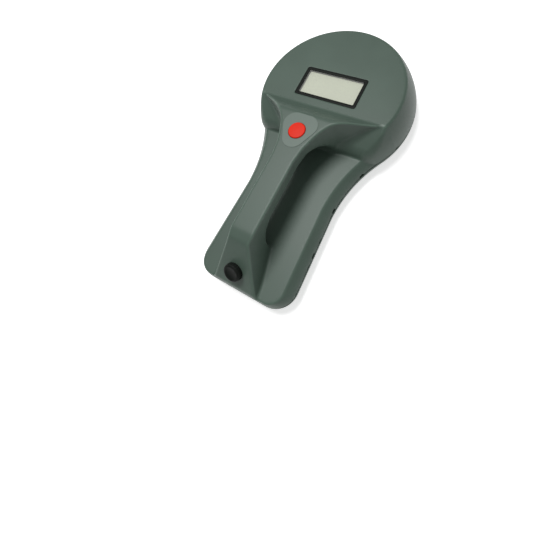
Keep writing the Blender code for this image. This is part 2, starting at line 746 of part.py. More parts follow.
def button_pieces(red, green, black, steel):
    middle = (0, along(BUTTON_ALONG))
    top = GRIP_TOP + BUTTON_PROUD
    radius = BUTTON_DIAMETER / 2
    flange_top = GRIP_TOP - WALL - GAP
    flange_low = flange_top - BUTTON_FLANGE_HEIGHT
    profile = [
        (radius + BUTTON_FLANGE, flange_low),
        (radius + BUTTON_FLANGE, flange_top),
        (radius, flange_top),
        (radius, top - 0.9 * MM),
        (radius - 0.4 * MM, top - 0.35 * MM),
        (radius - 1.3 * MM, top - 0.08 * MM),
        (radius - 3 * MM, top),
    ]
    turned("scan_button", profile, red, center=middle)
    body_top = flange_low - BUTTON_TRAVEL - SLIP
    body_low = body_top - SWITCH_HEIGHT
    half = SWITCH_SIDE / 2
    low_corner = (-half, middle[1] - half, body_low)
    switch = box("button_switch", low_corner, (half, middle[1] + half, body_top), black)
    hole = PLUNGER_DIAMETER / 2 + GAP
    cut(switch, rods("plunger hole", [middle], hole, body_low - WALL, body_top + WALL, 16))
    plunger = PLUNGER_DIAMETER / 2
    plunger_low = body_low + BUTTON_TRAVEL + GAP
    turned("switch_plunger", [(plunger, plunger_low), (plunger, flange_low - GAP)], black, 16, middle)
    board_top = body_low - GAP
    board = (SWITCH_BOARD_HALF, SWITCH_BOARD_HALF, 1 * MM)
    slab("switch_board", *board, board_top - SWITCH_BOARD_THICK, board_top, middle, green)
    size = (SPRING_DIAMETER / 2, SPRING_WIRE, body_low, flange_low - GAP)
    spring = coil("button_spring", *size, SPRING_TURNS, steel)
    spring.location = (0, middle[1], 0)
    return board_top


# ---------------------------------------------------------------- grip cover


def cover_corners(grown, low, high):
    half = COVER_HALF_WIDTH + grown
    return (-half, along(COVER_REAR) - grown, low), (half, along(COVER_FRONT) + grown, high)


def grip_cover(finish):
    box("grip_cover", *cover_corners(0.0, GRIP_UNDERSIDE, GRIP_UNDERSIDE + WALL), finish)


# ---------------------------------------------------------------- electronics in the head


def main_board(green, black, steel, grey, carrier_bottom):
    middle = (0, HEAD_Y)
    outer = (BOARD_LENGTH / 2, BOARD_WIDTH / 2, 3 * MM)
    board = slab("main_board", *outer, BOARD_BOTTOM, BOARD_TOP, middle, green)
    holes = mirrored([(BOARD_HOLE_X, BOARD_HOLE_Y), (BOARD_HOLE_X, -BOARD_HOLE_Y)])
    radius = BOARD_SCREW_DIAMETER / 2 + GAP
    cut(board, rods("board holes", holes, radius, BOARD_BOTTOM - WALL, BOARD_TOP + WALL, 12))
    for number, place in enumerate(holes, 1):
        board_screw(f"board_screw_{number}", place, steel)
    seat = BOARD_TOP + GAP
    box("processor", (-7 * MM, HEAD_Y - 24 * MM, seat), (7 * MM, HEAD_Y - 12 * MM, seat + 1.6 * MM), black)
    box("radio_chip", (16 * MM, HEAD_Y - 20 * MM, seat), (25 * MM, HEAD_Y - 11 * MM, seat + 1.4 * MM), black)
    can = [(4 * MM, seat), (4 * MM, seat + 6 * MM)]
    turned("reservoir_capacitor", can, grey, 20, (-22 * MM, HEAD_Y - 18 * MM))
    header_y = along(DISPLAY_ALONG) + WINDOW_WIDTH / 2
    box(
        "lcd_header",
        (-22 * MM, header_y - 1.2 * MM, seat),
        (22 * MM, header_y + 1.2 * MM, carrier_bottom - GAP),
        black,
    )
    buzzer = turned(
        "buzzer",
        [
            (BUZZER_DIAMETER / 2, BOARD_BOTTOM - GAP - BUZZER_HEIGHT),
            (BUZZER_DIAMETER / 2, BOARD_BOTTOM - GAP),
        ],
        black,
        28,
        (0, HEAD_Y + 8 * MM),
    )
    sound_hole = [(0, HEAD_Y + 8 * MM)]
    low = BOARD_BOTTOM - BUZZER_HEIGHT - WALL
    cut(buzzer, rods("sound hole", sound_hole, 1.5 * MM, low, low + WALL + 2 * MM, 12))


def board_screw(name, place, finish):
    seat = BOARD_TOP + GAP
    shank = BOARD_SCREW_DIAMETER / 2
    low, high = BOARD_TOP - BOARD_SCREW_LENGTH, seat + 1.3 * MM
    profile = [(shank, low), (shank, seat), (2 * shank, seat), (2 * shank, high)]
    turned(name, profile, finish, 12, place)


def aerial(plastic, copper):
    """Channel former that faces outwards, and the winding in its channel."""
    low, high = COIL_BOTTOM, COIL_BOTTOM + COIL_HEIGHT
    web = COIL_INNER + COIL_FLANGE
    section_outline = [
        (COIL_INNER, low),
        (COIL_OUTER, low),
        (COIL_OUTER, low + COIL_FLANGE),
        (web, low + COIL_FLANGE),
        (web, high - COIL_FLANGE),
        (COIL_OUTER, high - COIL_FLANGE),
        (COIL_OUTER, high),
        (COIL_INNER, high),
    ]
    turned_ring("aerial_former", section_outline, plastic, 48, (0, HEAD_Y))
    wound_low, wound_high = low + COIL_FLANGE + GAP, high - COIL_FLANGE - GAP
    wound_in, wound_out = web + GAP, COIL_OUTER - 2 * MM
    winding = [(wound_in, wound_low), (wound_out, wound_low), (wound_out, wound_high), (wound_in, wound_high)]
    turned_ring("aerial_winding", winding, copper, 48, (0, HEAD_Y))


# ---------------------------------------------------------------- battery bay


def battery_tray(finish):
    half = BAY_HALF_WIDTH + TRAY_WALL
    front, rear = along(BAY_FRONT), along(BAY_REAR)
    low, high = FLOOR_TOP + GAP, TRAY_TOP
    tray = box("battery_tray", (-half, rear - TRAY_WALL, low), (half, front + TRAY_WALL, high), finish)
    inside = box(
        "tray inside", (-BAY_HALF_WIDTH, rear, low - WALL), (BAY_HALF_WIDTH, front, high - TRAY_WALL)
    )
    cut(tray, inside)


def cell_places():
    middle = (CELL_COUNT - 1) / 2
    return [((i - middle) * CELL_PITCH, i % 2 == 0) for i in range(CELL_COUNT)]


def lay_along(made, x, y, towards_head):
    """Turns a piece made about Z to lie along the scanner, its base at y."""
    turn = -math.pi / 2 if towards_head else math.pi / 2
    made.matrix_world = Matrix.Translation((x, y, CELL_AXIS)) @ Matrix.Rotation(turn, 4, "X")


def battery_pieces(wrap, steel):
    contact_low = CELL_AXIS - CONTACT_HEIGHT / 2
    contact_high = CELL_AXIS + CONTACT_HEIGHT / 2
    half = BAY_HALF_WIDTH - GAP
    front, rear = along(BAY_FRONT) - GAP, along(BAY_REAR) + GAP
    box("front_contact", (-half, front - CONTACT_THICK, contact_low), (half, front, contact_high), steel)
    box("rear_contact", (-half, rear, contact_low), (half, rear + CONTACT_THICK, contact_high), steel)
    radius, nub = CELL_DIAMETER / 2, CELL_NUB_DIAMETER / 2
    profile = [
        (radius - 0.8 * MM, 0),
        (radius, 0.6 * MM),
        (radius, CELL_BODY - 0.6 * MM),
        (radius - 0.8 * MM, CELL_BODY),
        (nub, CELL_BODY),
        (nub, CELL_BODY + CELL_NUB),
    ]
    for number, (x, towards_head) in enumerate(cell_places(), 1):
        cell = turned(f"battery_{number}", profile, wrap, 20)
        nub_wall = front - CONTACT_THICK - GAP if towards_head else rear + CONTACT_THICK + GAP
        facing = 1 if towards_head else -1
        base = nub_wall - facing * (CELL_BODY + CELL_NUB)
        lay_along(cell, x, base, towards_head)
        spring = coil(
            f"battery_spring_{number}", 5 * MM, 0.8 * MM, GAP, SPRING_ROOM - GAP, 3, steel, 0.7, 10, 5
        )
        spring_base = rear + CONTACT_THICK if towards_head else front - CONTACT_THICK
        lay_along(spring, x, spring_base, towards_head)


# ---------------------------------------------------------------- tail socket


def socket_pieces(metal, black):
    frame = facet_frame()
    radius = SOCKET_DIAMETER / 2
    rim_top = GAP + SOCKET_RIM
    socket = turned(
        "data_socket",
        [
            (radius, -SOCKET_DEPTH),
            (radius, GAP),
            (SOCKET_RIM_DIAMETER / 2, GAP),
            (SOCKET_RIM_DIAMETER / 2, rim_top),
        ],
        metal,
        24,
    )
    bore_bottom = -CAP_STEM - 2 * MM
    bore_radius = SOCKET_BORE / 2
    bore = turned("socket bore", [(bore_radius, bore_bottom), (bore_radius, rim_top + WALL)], sides=24)
    nut_top = -WALL - GAP
    corner = NUT_FLATS / math.sqrt(3)
    nut = turned("socket_nut", [(corner, nut_top - NUT_HEIGHT), (corner, nut_top)], metal, 6)
    nut_profile = [(radius + GAP, nut_top - 2 * NUT_HEIGHT), (radius + GAP, WALL)]
    nut_bore = turned("nut bore", nut_profile, sides=24)
    cap_radius = CAP_DIAMETER / 2
    stem = bore_radius - SLIP
    recess = SOCKET_RIM_DIAMETER / 2 + SLIP
    recess_top = rim_top + SLIP
    cap_section = [
        (cap_radius, GAP),
        (cap_radius, CAP_HEIGHT - 0.8 * MM),
        (cap_radius - 0.8 * MM, CAP_HEIGHT),
    ]
    cap = turned("port_cap", cap_section, black, 24)
    below = GAP - WALL
    ring = turned_ring(
        "cap recess",
        [(stem, below), (recess, below), (recess, recess_top), (stem, recess_top)],
        sides=24,
    )
    plug_profile = [
        (stem - 0.3 * MM, -CAP_STEM),
        (stem, -CAP_STEM + 0.4 * MM),
        (stem, recess_top + 0.5 * MM),
    ]
    plug = turned("cap stem", plug_profile, sides=24)
    join(cut(cap, ring), plug)
    for piece in (socket, bore, nut, nut_bore, cap, ring, plug):
        piece.matrix_world = frame
    cut(socket, bore)
    cut(nut, nut_bore)


# ---------------------------------------------------------------- fasteners, feet and cables


def fasteners(steel, rubber):
    head, shank = SCREW_HEAD_DIAMETER / 2, SCREW_DIAMETER / 2
    seat = SCREW_HEAD_BOTTOM + SCREW_HEAD_HEIGHT
    profile = [(head, SCREW_HEAD_BOTTOM), (head, seat), (shank, seat), (shank, seat + SCREW_LENGTH)]
    for number, place in enumerate(mirrored(CASE_SCREWS), 1):
        turned(f"case_screw_{number}", profile, steel, 16, place)
    radius = FOOT_DIAMETER / 2
    top = FOOT_HEIGHT + FOOT_SEAT - GAP
    pad = [(radius - 0.5 * MM, 0), (radius, 0.5 * MM), (radius, top)]
    for number, place in enumerate(mirrored(FEET), 1):
        turned(f"rubber_foot_{number}", pad, rubber, 24, place)


def cables(red, grey, button_board_top):
    wire = 1.0 * MM
    under_board = BOARD_BOTTOM - 1.5 * GAP
    low = FLOOR_TOP + GAP + wire
    tray_front = along(BAY_FRONT) + TRAY_WALL
    x = min(27 * MM, BAY_HALF_WIDTH - 3 * MM)
    battery_route = [
        (x, tray_front + 1.5 * wire, CELL_AXIS),
        (x, tray_front + 5 * MM, low + 2 * MM),
        (x, tray_front + 14 * MM, low),
        (x, along(-58 * MM), low),
        (x, along(-46 * MM), low + 2 * MM),
        (x, along(-34 * MM), low + 10 * MM),
        (x - 3 * MM, along(-24 * MM), under_board - 4 * MM),
        (x - 4 * MM, along(-22 * MM), under_board),
    ]
    tube("battery_lead", battery_route, wire, red)
    board_edge = along(BUTTON_ALONG) + SWITCH_BOARD_HALF
    button_route = [
        (5 * MM, board_edge - 1 * MM, button_board_top + wire + GAP),
        (5 * MM, board_edge + 6 * MM, button_board_top - 1 * MM),
        (5 * MM, along(-34 * MM), FACE_TOP - 4 * MM),
        (5 * MM, along(-29.5 * MM), BOARD_TOP + 6 * MM),
        (5 * MM, along(-28.5 * MM), BOARD_TOP + GAP),
    ]
    tube("button_lead", button_route, wire, grey)
    back = facet_frame() @ Vector((0, 0, -SOCKET_DEPTH - GAP))
    behind = facet_frame() @ Vector((0, 0, -SOCKET_DEPTH - 5 * MM))
    beside = -BAY_HALF_WIDTH - TRAY_WALL - wire - 5 * GAP
    socket_route = [
        tuple(back),
        tuple(behind),
        (-12 * MM, along(BAY_REAR) - 5.5 * MM, FLOOR_TOP + 8 * MM),
        (-22 * MM, along(BAY_REAR) - 5 * MM, FLOOR_TOP + 6 * MM),
        (-31 * MM, along(BAY_REAR) - 4.5 * MM, FLOOR_TOP + 6 * MM),
        (beside, along(BAY_REAR) - 0.5 * MM, FLOOR_TOP + 6 * MM),
        (beside, along(BAY_REAR) + 6 * MM, FLOOR_TOP + 6 * MM),
        (beside, along(-120 * MM), FLOOR_TOP + 6 * MM),
        (beside, along(BAY_FRONT) - 2 * MM, FLOOR_TOP + 5 * MM),
        (beside + 2 * MM, along(-82 * MM), low + 1 * MM),
        (-x, along(-66 * MM), low),
        (-x, along(-54 * MM), low),
        (-x, along(-44 * MM), low + 3 * MM),
        (-x, along(-34 * MM), low + 10 * MM),
        (-x + 3 * MM, along(-24 * MM), under_board - 4 * MM),
        (-x + 4 * MM, along(-22 * MM), under_board),
    ]
    tube("socket_lead", socket_route, wire, grey)


def main():
    clear_scene()
    casing = material("casing", CASING_GREEN, 0.55)
    black = material("black plastic", GRAPHITE, 0.4)
    red = material("button red", (0.8, 0.04, 0.01), 0.35)
    plate = material("button plate", (0.2, 0.25, 0.215), 0.5)
    clear = material("clear window", (0.9, 0.93, 0.88), 0.05)
    display = material("display glass", (0.5, 0.54, 0.4), 0.2)
    grey = material("grey plastic", (0.35, 0.36, 0.36), 0.5)
    board_green = material("circuit board", (0.01, 0.16, 0.06), 0.4)
    steel = material("bright steel", (0.6, 0.6, 0.6), 0.3, 1.0)
    copper = material("copper wire", (0.7, 0.3, 0.12), 0.35, 1.0)
    rubber = material("rubber", (0.02, 0.02, 0.02), 0.8)
    wrap = material("battery wrap", (0.05, 0.16, 0.4), 0.35)
    lead = material("red lead", (0.5, 0.02, 0.02), 0.5)
    upper_housing(casing)
    lower_housing(casing)
    grip_cover(casing)
    carrier_bottom = display_pieces(black, clear, display, grey)
    button_plate(plate)
    button_board_top = button_pieces(red, board_green, black, steel)
    main_board(board_green, black, steel, grey, carrier_bottom)
    aerial(grey, copper)
    battery_tray(black)
    battery_pieces(wrap, steel)
    battery_door(casing)
    socket_pieces(steel, black)
    fasteners(steel, rubber)
    cables(lead, grey, button_board_top)


main()
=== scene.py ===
"""Looks of the handheld microchip scanner: moulded casing, key, window, fittings and studio."""

import math

import bmesh
import bpy
import numpy as np
from mathutils import Matrix, Vector


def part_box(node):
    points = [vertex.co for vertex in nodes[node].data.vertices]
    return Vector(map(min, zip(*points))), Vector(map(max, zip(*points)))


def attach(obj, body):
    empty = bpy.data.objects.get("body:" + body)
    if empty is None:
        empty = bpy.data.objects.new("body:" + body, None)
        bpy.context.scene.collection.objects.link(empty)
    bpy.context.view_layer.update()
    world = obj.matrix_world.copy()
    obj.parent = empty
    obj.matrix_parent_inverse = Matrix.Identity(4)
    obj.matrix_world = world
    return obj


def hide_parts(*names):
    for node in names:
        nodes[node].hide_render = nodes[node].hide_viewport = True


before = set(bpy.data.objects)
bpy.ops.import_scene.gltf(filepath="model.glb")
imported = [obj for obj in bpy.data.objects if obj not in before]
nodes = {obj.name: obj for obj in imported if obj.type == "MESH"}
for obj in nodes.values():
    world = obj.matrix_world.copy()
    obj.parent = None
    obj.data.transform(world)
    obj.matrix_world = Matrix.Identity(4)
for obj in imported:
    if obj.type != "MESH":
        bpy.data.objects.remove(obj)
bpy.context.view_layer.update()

MM = 0.001


def corners(node):
    """A node's lowest and highest corner, in millimetres."""
    return tuple(np.array(corner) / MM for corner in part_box(node))


# ---------------- places taken from the frame
SHELL_LOW, SHELL_HIGH = corners("upper_housing")
BASE_LOW, _ = corners("lower_housing")
HEAD_RADIUS = SHELL_HIGH[0]
HEAD_Y = SHELL_HIGH[1] - HEAD_RADIUS
TAIL_REACH = HEAD_Y - BASE_LOW[1]
GRIP_TOP = SHELL_HIGH[2]
SEAM = 0.15  # half the gap between the shells
WALL = 2.2
GAP = 0.3  # between two pieces that touch
LENS_TO_FACE = 2.5  # display carrier's top below the face
PARTING = SHELL_LOW[2] - SEAM
UNDERSIDE = BASE_LOW[2]
GRIP_UNDERSIDE = corners("grip_cover")[0][2]
FACE_TOP = corners("lcd_carrier")[1][2] + LENS_TO_FACE
PLATFORM_TOP = corners("battery_tray")[1][2] + GAP + WALL

# ---------------- casing, counted along from the head's centre
NECK_RADIUS = 120.0
BASE_HALF_WIDTH = 44.0
TAIL_HALF_WIDTH = 46.3
CORNER_RADIUS = 20.0
NECK_X = BASE_HALF_WIDTH + NECK_RADIUS
NECK_Y = -math.sqrt((HEAD_RADIUS + NECK_RADIUS) ** 2 - NECK_X**2)
TAPER = (TAIL_HALF_WIDTH - BASE_HALF_WIDTH) / (TAIL_REACH - CORNER_RADIUS + NECK_Y)
UNDERSIDE_INSET = 9.0
PLATFORM_INSET = 7.0
TAIL_SHARE = 0.3  # of an inset, across the tail's end
PARTING_STEP = 0.25
FACE_INSET = 8.0
CHORD = -22.0
SHOULDER_END = -45.5
SHOULDER_DROP = 13.0
HEAD_REAR = -47.5
OPENING_TAIL = -145.0
OPENING_RADIUS = 22.0
FACET_START = -153.0
FACET_END = -186.0
FACET_START_DROP = 2.0  # below the grip's top
FACET_DROP = 30.0
FACET_TILT = math.atan2(FACET_DROP, FACET_START - FACET_END)
SOCKET_ALONG = FACET_END + 12.0
GRIP_FOOT = PARTING + 2
GRIP_EDGE = 1.5
# how round the other edges are
PLATFORM_EDGE = 0.9
FACE_EDGE = 0.6
REAR_EDGE = 7.0
FACET_EDGE = 1.5
OPENING_EDGE = 2.0
SEAM_EDGE = 0.45
SOCKET_BORE = 4.8  # its radius in the casing
KEY_WELL_RADIUS = 8.0  # in the casing
KEY_HOLE_RADIUS = 7.55  # in the plate
ROUND_SIDES = 72
CELL = 0.8  # grid on which the casing's surface is found
MARGIN = 1.5  # of that grid round the casing

# distance along, half width on top, top height, half width at the foot
STATIONS = (
    (FACET_END - 10, 26.7, GRIP_TOP - 41.1, 28.6),
    (FACET_END, 20.6, GRIP_TOP - FACET_START_DROP - FACET_DROP, 25.5),
    (FACET_START, 9.7, GRIP_TOP - FACET_START_DROP, 15.5),
    (OPENING_TAIL, 10.5, GRIP_TOP, 12.5),
    (-81.0, 10.5, GRIP_TOP, 11.3),
    (-68.0, 12.3, GRIP_TOP, 13.5),
    (-56.0, 16.3, GRIP_TOP, 19.5),
    (-50.0, 18.8, GRIP_TOP, 24.5),
    (-43.5, 23.0, GRIP_TOP, 32.5),
    (-38.0, 29.0, GRIP_TOP, 41.5),
    (-32.5, 37.5, FACE_TOP + 9.5, 50.5),
    (-27.5, 47.5, FACE_TOP + 4, 58.5),
    (-23.0, 57.5, FACE_TOP + 0.3, 64.5),
    (-19.0, 58.5, FACE_TOP - 3, 64.5),
)


def smooth_stations(blur=1.4, spacing=0.25):
    """The stations' three curves on a fine spacing, with their kinks rounded off."""
    table = np.array(STATIONS)
    margin = int(4 * blur / spacing)
    at = np.arange(table[0, 0] - margin * spacing, table[-1, 0] + margin * spacing, spacing)
    weights = np.exp(-0.5 * (np.arange(-margin, margin + 1) * spacing / blur) ** 2)
    weights /= weights.sum()
    curves = [np.convolve(np.interp(at, table[:, 0], table[:, i]), weights, "valid") for i in (1, 2, 3)]
    at = at[margin:-margin]
    return at, curves, [np.gradient(curve, spacing) for curve in curves]


AT, CURVES, SLOPES = smooth_stations()

# ---------------- signed distances: below zero is plastic


def soft_max(a, b, radius):
    """What two forms share, with the edge between them rounded."""
    rounded = np.hypot(np.maximum(a + radius, 0), np.maximum(b + radius, 0))
    return np.minimum(np.maximum(a, b), -radius) + rounded


def soft_min(a, b, radius):
    """Two forms joined, with a fillet between them."""
    return -soft_max(-a, -b, radius)


def outline_distance(x, y, inset=0.0):
    """From above: distance to the casing's widest outline moved inwards, by less at the tail's end."""
    head = np.hypot(x, y) - HEAD_RADIUS
    neck = NECK_RADIUS - np.hypot(x - NECK_X, y - NECK_Y)
    side = (x - BASE_HALF_WIDTH - TAPER * (NECK_Y - y)) / math.hypot(1, TAPER)
    base = soft_max(side + inset, -TAIL_REACH - y + TAIL_SHARE * inset, CORNER_RADIUS - inset)
    beside_head = NECK_X * y - NECK_Y * x >= 0
    return np.where(beside_head, head + inset, np.where(y > NECK_Y, neck + inset, base))


def base_form(x, y, z):
    """Upper half of the base, its wall curving in to the flat platform."""
    share = np.clip((z - PARTING) / (PLATFORM_TOP - PARTING), 0, 1)
    rise = PLATFORM_INSET - PARTING_STEP
    slope = 1.5 * rise * np.sqrt(share) / (PLATFORM_TOP - PARTING)
    wall = outline_distance(x, y, PARTING_STEP + rise * share**1.5) / np.hypot(1, slope)
    return soft_max(wall, z - PLATFORM_TOP, PLATFORM_EDGE)


def head_form(x, y, z):
    """Round head: flat face, ramp down to the button and rear wall."""
    share = np.clip((z - PARTING) / (FACE_TOP - PARTING), 0, 1)
    slope = 2 * FACE_INSET * share / (FACE_TOP - PARTING)
    wall = (np.hypot(x, y) - HEAD_RADIUS + FACE_INSET * share**2) / np.hypot(1, slope)
    run = CHORD - SHOULDER_END
    ramp = ((CHORD - y) * SHOULDER_DROP + (z - FACE_TOP) * run) / math.hypot(run, SHOULDER_DROP)
    top = soft_max(z - FACE_TOP, ramp, FACE_EDGE)
    top = soft_max(top, HEAD_REAR - y, REAR_EDGE)
    return soft_max(wall, top, np.interp(z, (FACE_TOP - 12, FACE_TOP - 3), (5.0, 1.6)))


def opening(y, z):
    """The finger opening under the grip bar, seen from the side."""
    return soft_max(np.maximum(OPENING_TAIL - y, y - HEAD_REAR), z - GRIP_UNDERSIDE, OPENING_RADIUS)


def grip_form(x, y, z):
    """Grip bar that runs from the head to the tail facet, over the finger opening."""
    half, top, foot = (np.interp(y, AT, curve) for curve in CURVES)
    half_slope, top_slope, foot_slope = (np.interp(y, AT, slope) for slope in SLOPES)
    share = np.clip((top - z) / (top - GRIP_FOOT), -0.2, 1.2)
    leaning = (foot - half) / (top - GRIP_FOOT)
    turning = half_slope + (foot_slope - half_slope) * share
    wall = (x - half - (foot - half) * share) / np.sqrt(1 + leaning**2 + turning**2)
    lid = (z - top) / np.hypot(1, top_slope)
    bar = soft_max(wall, lid, GRIP_EDGE)
    bar = soft_max(bar, FACET_END - y, FACET_EDGE)
    bar = np.maximum(bar, y - CHORD - 3)
    return soft_max(bar, -opening(y, z), OPENING_EDGE)


def upper_form(x, y, z):
    """Outside of the upper shell, carried on below the parting line."""
    fillet = np.interp(z, (FACE_TOP - 14, FACE_TOP - 1), (6.0, 1.2))
    raised = soft_min(head_form(x, y, z), grip_form(x, y, z), fillet)
    foot = np.interp(z, (PLATFORM_TOP - 5, PLATFORM_TOP - 1), (0.02, 1.6))
    return soft_min(raised, base_form(x, y, z), foot)


def lower_form(x, y, z):
    """Outside of the lower shell, carried on above the parting line."""
    across = np.maximum(outline_distance(x, y) + UNDERSIDE_INSET, 0) / UNDERSIDE_INSET
    height = PARTING - UNDERSIDE
    down = np.maximum(PARTING - z, 0) / height
    return (np.hypot(across, down) - 1) * (UNDERSIDE_INSET + height) / 2


# ---------------- what is taken out of the shells


def block(x, y, z, low, high, radius=0.0):
    """Box with upright rounded edges, its middle on the scanner's centre line."""
    across = soft_max(x - high[0], np.maximum(low[1] - y, y - high[1]), radius)
    return np.maximum(across, np.maximum(low[2] - z, z - high[2]))


def drum(x, y, z, center, radius, low, high):
    """Upright round bar from one height to another."""
    around = np.hypot(x - center[0], y - center[1]) - radius
    return np.maximum(around, np.maximum(low - z, z - high))


def placed(node, grown=0.0):
    """A node's corners, counted along from the head's centre and moved outwards."""
    low, high = corners(node)
    shift = np.array((0, HEAD_Y, 0))
    return low - shift - grown, high - shift + grown


def facet_axes():
    """Point on the tail facet's surface under the cap, and the facet's outward direction, in (y, z)."""
    low, high = placed("socket_nut")
    out = np.array((-math.sin(FACET_TILT), math.cos(FACET_TILT)))
    return np.array(((low[1] + high[1]) / 2, (low[2] + high[2]) / 2)), out


def round_hole(x, y, z, radius):
    """Bore square to the tail facet."""
    point, out = facet_axes()
    depth = (y - point[0]) * out[0] + (z - point[1]) * out[1]
    beside = (y - point[0]) * out[1] - (z - point[1]) * out[0]
    return np.maximum(np.hypot(x, beside) - radius, -depth - 12)


# middle across and along, and how far the outline turns there
CLIPS = ((70.4, -23.0, 0.33), (52.5, -57.5, 0.95), (43.6, -95.0, 1.5), (44.8, -136.0, 1.6))


def clip_notches(x, y, z):
    """Small slots on the parting line, where a tool springs the shells' clips open."""
    found = np.full(np.broadcast(x, y, z).shape, 1e3, np.float32)
    half_long, half_high, half_deep = 2.2, 1.2, 2.4
    for middle_x, middle_y, turn in CLIPS:
        along = (x - middle_x) * math.cos(turn) + (y - middle_y) * math.sin(turn)
        inward = (x - middle_x) * math.sin(turn) - (y - middle_y) * math.cos(turn)
        slot = soft_max(np.abs(along) - half_long, np.abs(z - PARTING - 0.4) - half_high, 0.5)
        found = np.minimum(found, soft_max(slot, np.abs(inward) - half_deep, 0.4))
    return found


def upper_shell(x, y, z):
    """Plastic of the upper shell, with the openings for what is fitted to it."""
    outside = upper_form(x, y, z)
    inside = outside + WALL
    shell = soft_max(outside, PARTING + SEAM - z, SEAM_EDGE)
    shell = np.maximum(shell, -inside)
    low, high = placed("lcd_frame", GAP)
    low[2], high[2] = FACE_TOP - 6, FACE_TOP + 6
    shell = np.maximum(shell, -block(x, y, z, low, high, 2.0))
    low, high = placed("scan_button")
    key = (0.0, (low[1] + high[1]) / 2)
    shell = np.maximum(shell, -drum(x, y, z, key, KEY_WELL_RADIUS, GRIP_TOP - 6, GRIP_TOP + 6))
    low, high = placed("grip_cover", GAP)
    low[2], high[2] = low[2] - 3, high[2] + 3
    shell = np.maximum(shell, -block(x, y, z, low, high, 0.8))
    shell = np.maximum(shell, -round_hole(x, y, z, SOCKET_BORE))
    return np.maximum(shell, -clip_notches(x, y, z))


def lower_shell(x, y, z):
    """Plastic of the lower shell, with door opening, thumb notch, screw wells and foot seats."""
    outside = lower_form(x, y, z)
    shell = soft_max(outside, z - PARTING + SEAM, SEAM_EDGE)
    shell = np.maximum(shell, -(outside + WALL))
    low, high = placed("battery_door", 0.4)
    door = block(x, y, z, (0, low[1], -5), (high[0] - 1.0, high[1], UNDERSIDE + 6), 0.4)
    shell = soft_max(shell, -door, 0.3)
    notch_radius, flatness = 9.0, 3.0
    notch = np.hypot(np.hypot(x, y - low[1] - 1.0), (z - UNDERSIDE) * flatness) - notch_radius
    shell = soft_max(shell, -notch, 0.6)
    boss_radius, well_radius, well_depth = 3.8, 3.1, 4.6
    for number in (1, 3, 5):
        low, high = placed(f"case_screw_{number}")
        center = ((low[0] + high[0]) / 2, (low[1] + high[1]) / 2)
        boss = drum(x, y, z, center, boss_radius, UNDERSIDE + 0.5, PARTING - SEAM)
        shell = np.minimum(shell, boss)
        well = drum(x, y, z, center, well_radius, -5, UNDERSIDE + well_depth)
        shell = soft_max(shell, -well, 0.4)
    seat_radius, seat_depth = 4.75, 0.7
    for number in (1, 3):
        low, high = placed(f"rubber_foot_{number}")
        center = ((low[0] + high[0]) / 2, (low[1] + high[1]) / 2)
        seat = drum(x, y, z, center, seat_radius, -5, UNDERSIDE + seat_depth)
        shell = soft_max(shell, -seat, 0.2)
    return np.maximum(shell, -clip_notches(x, y, z))


# ---------------- from distances to a mesh


def sampled(form, low, high):
    """The form on a grid of cubes, worked out for one side and mirrored."""
    counts = [math.ceil((high[i] - low[i]) / CELL) + 1 for i in (1, 2)]
    x = (np.arange(math.ceil(high[0] / CELL) + 1) + 0.5) * CELL
    y = low[1] + np.arange(counts[0]) * CELL
    z = low[2] + np.arange(counts[1]) * CELL
    bands = [
        form(x[:, None, None], band[None, :, None], z[None, None, :]).astype(np.float32)
        for band in np.array_split(y, 12)
    ]
    half = np.concatenate(bands, axis=1)
    return np.concatenate((half[::-1], half)), np.array((-x[-1], y[0], z[0]))


def net(field, start):
    """Points near the field's zero surface, one in each cell it crosses, and the quads between them."""
    inside = field < 0
    ones = [slice(None, -1), slice(1, None)]
    shape = tuple(n - 1 for n in field.shape)
    count = np.zeros(shape, np.int8)
    offsets = [(i, j, k) for i in (0, 1) for j in (0, 1) for k in (0, 1)]
    for i, j, k in offsets:
        count += inside[ones[i], ones[j], ones[k]]
    mixed = (count > 0) & (count < 8)
    number = np.full(shape, -1, np.int64)
    number[mixed] = np.arange(mixed.sum())
    cells = np.argwhere(mixed)
    total = np.zeros((len(cells), 3))
    hits = np.zeros(len(cells))
    for first in offsets:
        for axis in range(3):
            if first[axis]:
                continue
            second = tuple(1 if i == axis else v for i, v in enumerate(first))
            a = field[tuple((cells + first).T)].astype(float)
            b = field[tuple((cells + second).T)].astype(float)
            crossed = (a < 0) != (b < 0)
            share = np.where(crossed, a / np.where(crossed, a - b, 1), 0)
            place = np.array(first) + share[:, None] * (np.array(second) - np.array(first))
            total[crossed] += place[crossed]
            hits[crossed] += 1
    points = start + (cells + total / hits[:, None]) * CELL
    quads = []
    for axis in range(3):
        u, v = (axis + 1) % 3, (axis + 2) % 3
        along = [slice(1, -1)] * 3
        along[axis] = slice(None, -1)
        ahead = list(along)
        ahead[axis] = slice(1, None)
        near, far = inside[tuple(along)], inside[tuple(ahead)]
        edges = np.argwhere(near != far)
        flipped = ~near[tuple(edges.T)]
        edges[:, u] += 1
        edges[:, v] += 1
        back_u, back_v = np.eye(3, dtype=int)[u], np.eye(3, dtype=int)[v]
        around = [edges - back_u - back_v, edges - back_v, edges, edges - back_u]
        quad = np.stack([number[tuple(cell.T)] for cell in around], axis=1)
        quad[flipped] = quad[flipped][:, ::-1]
        quads.append(quad)
    return points, np.concatenate(quads)


def gradient(form, points, reach=0.04):
    """Value and gradient of the form at the points."""
    x, y, z = np.abs(points[:, 0]), points[:, 1], points[:, 2]
    value = form(x, y, z)
    steps = [
        form(np.abs(points[:, 0] + reach), y, z) - form(np.abs(points[:, 0] - reach), y, z),
        form(x, y + reach, z) - form(x, y - reach, z),
        form(x, y, z + reach) - form(x, y, z - reach),
    ]
    return value, np.stack(steps, axis=1) / (2 * reach)


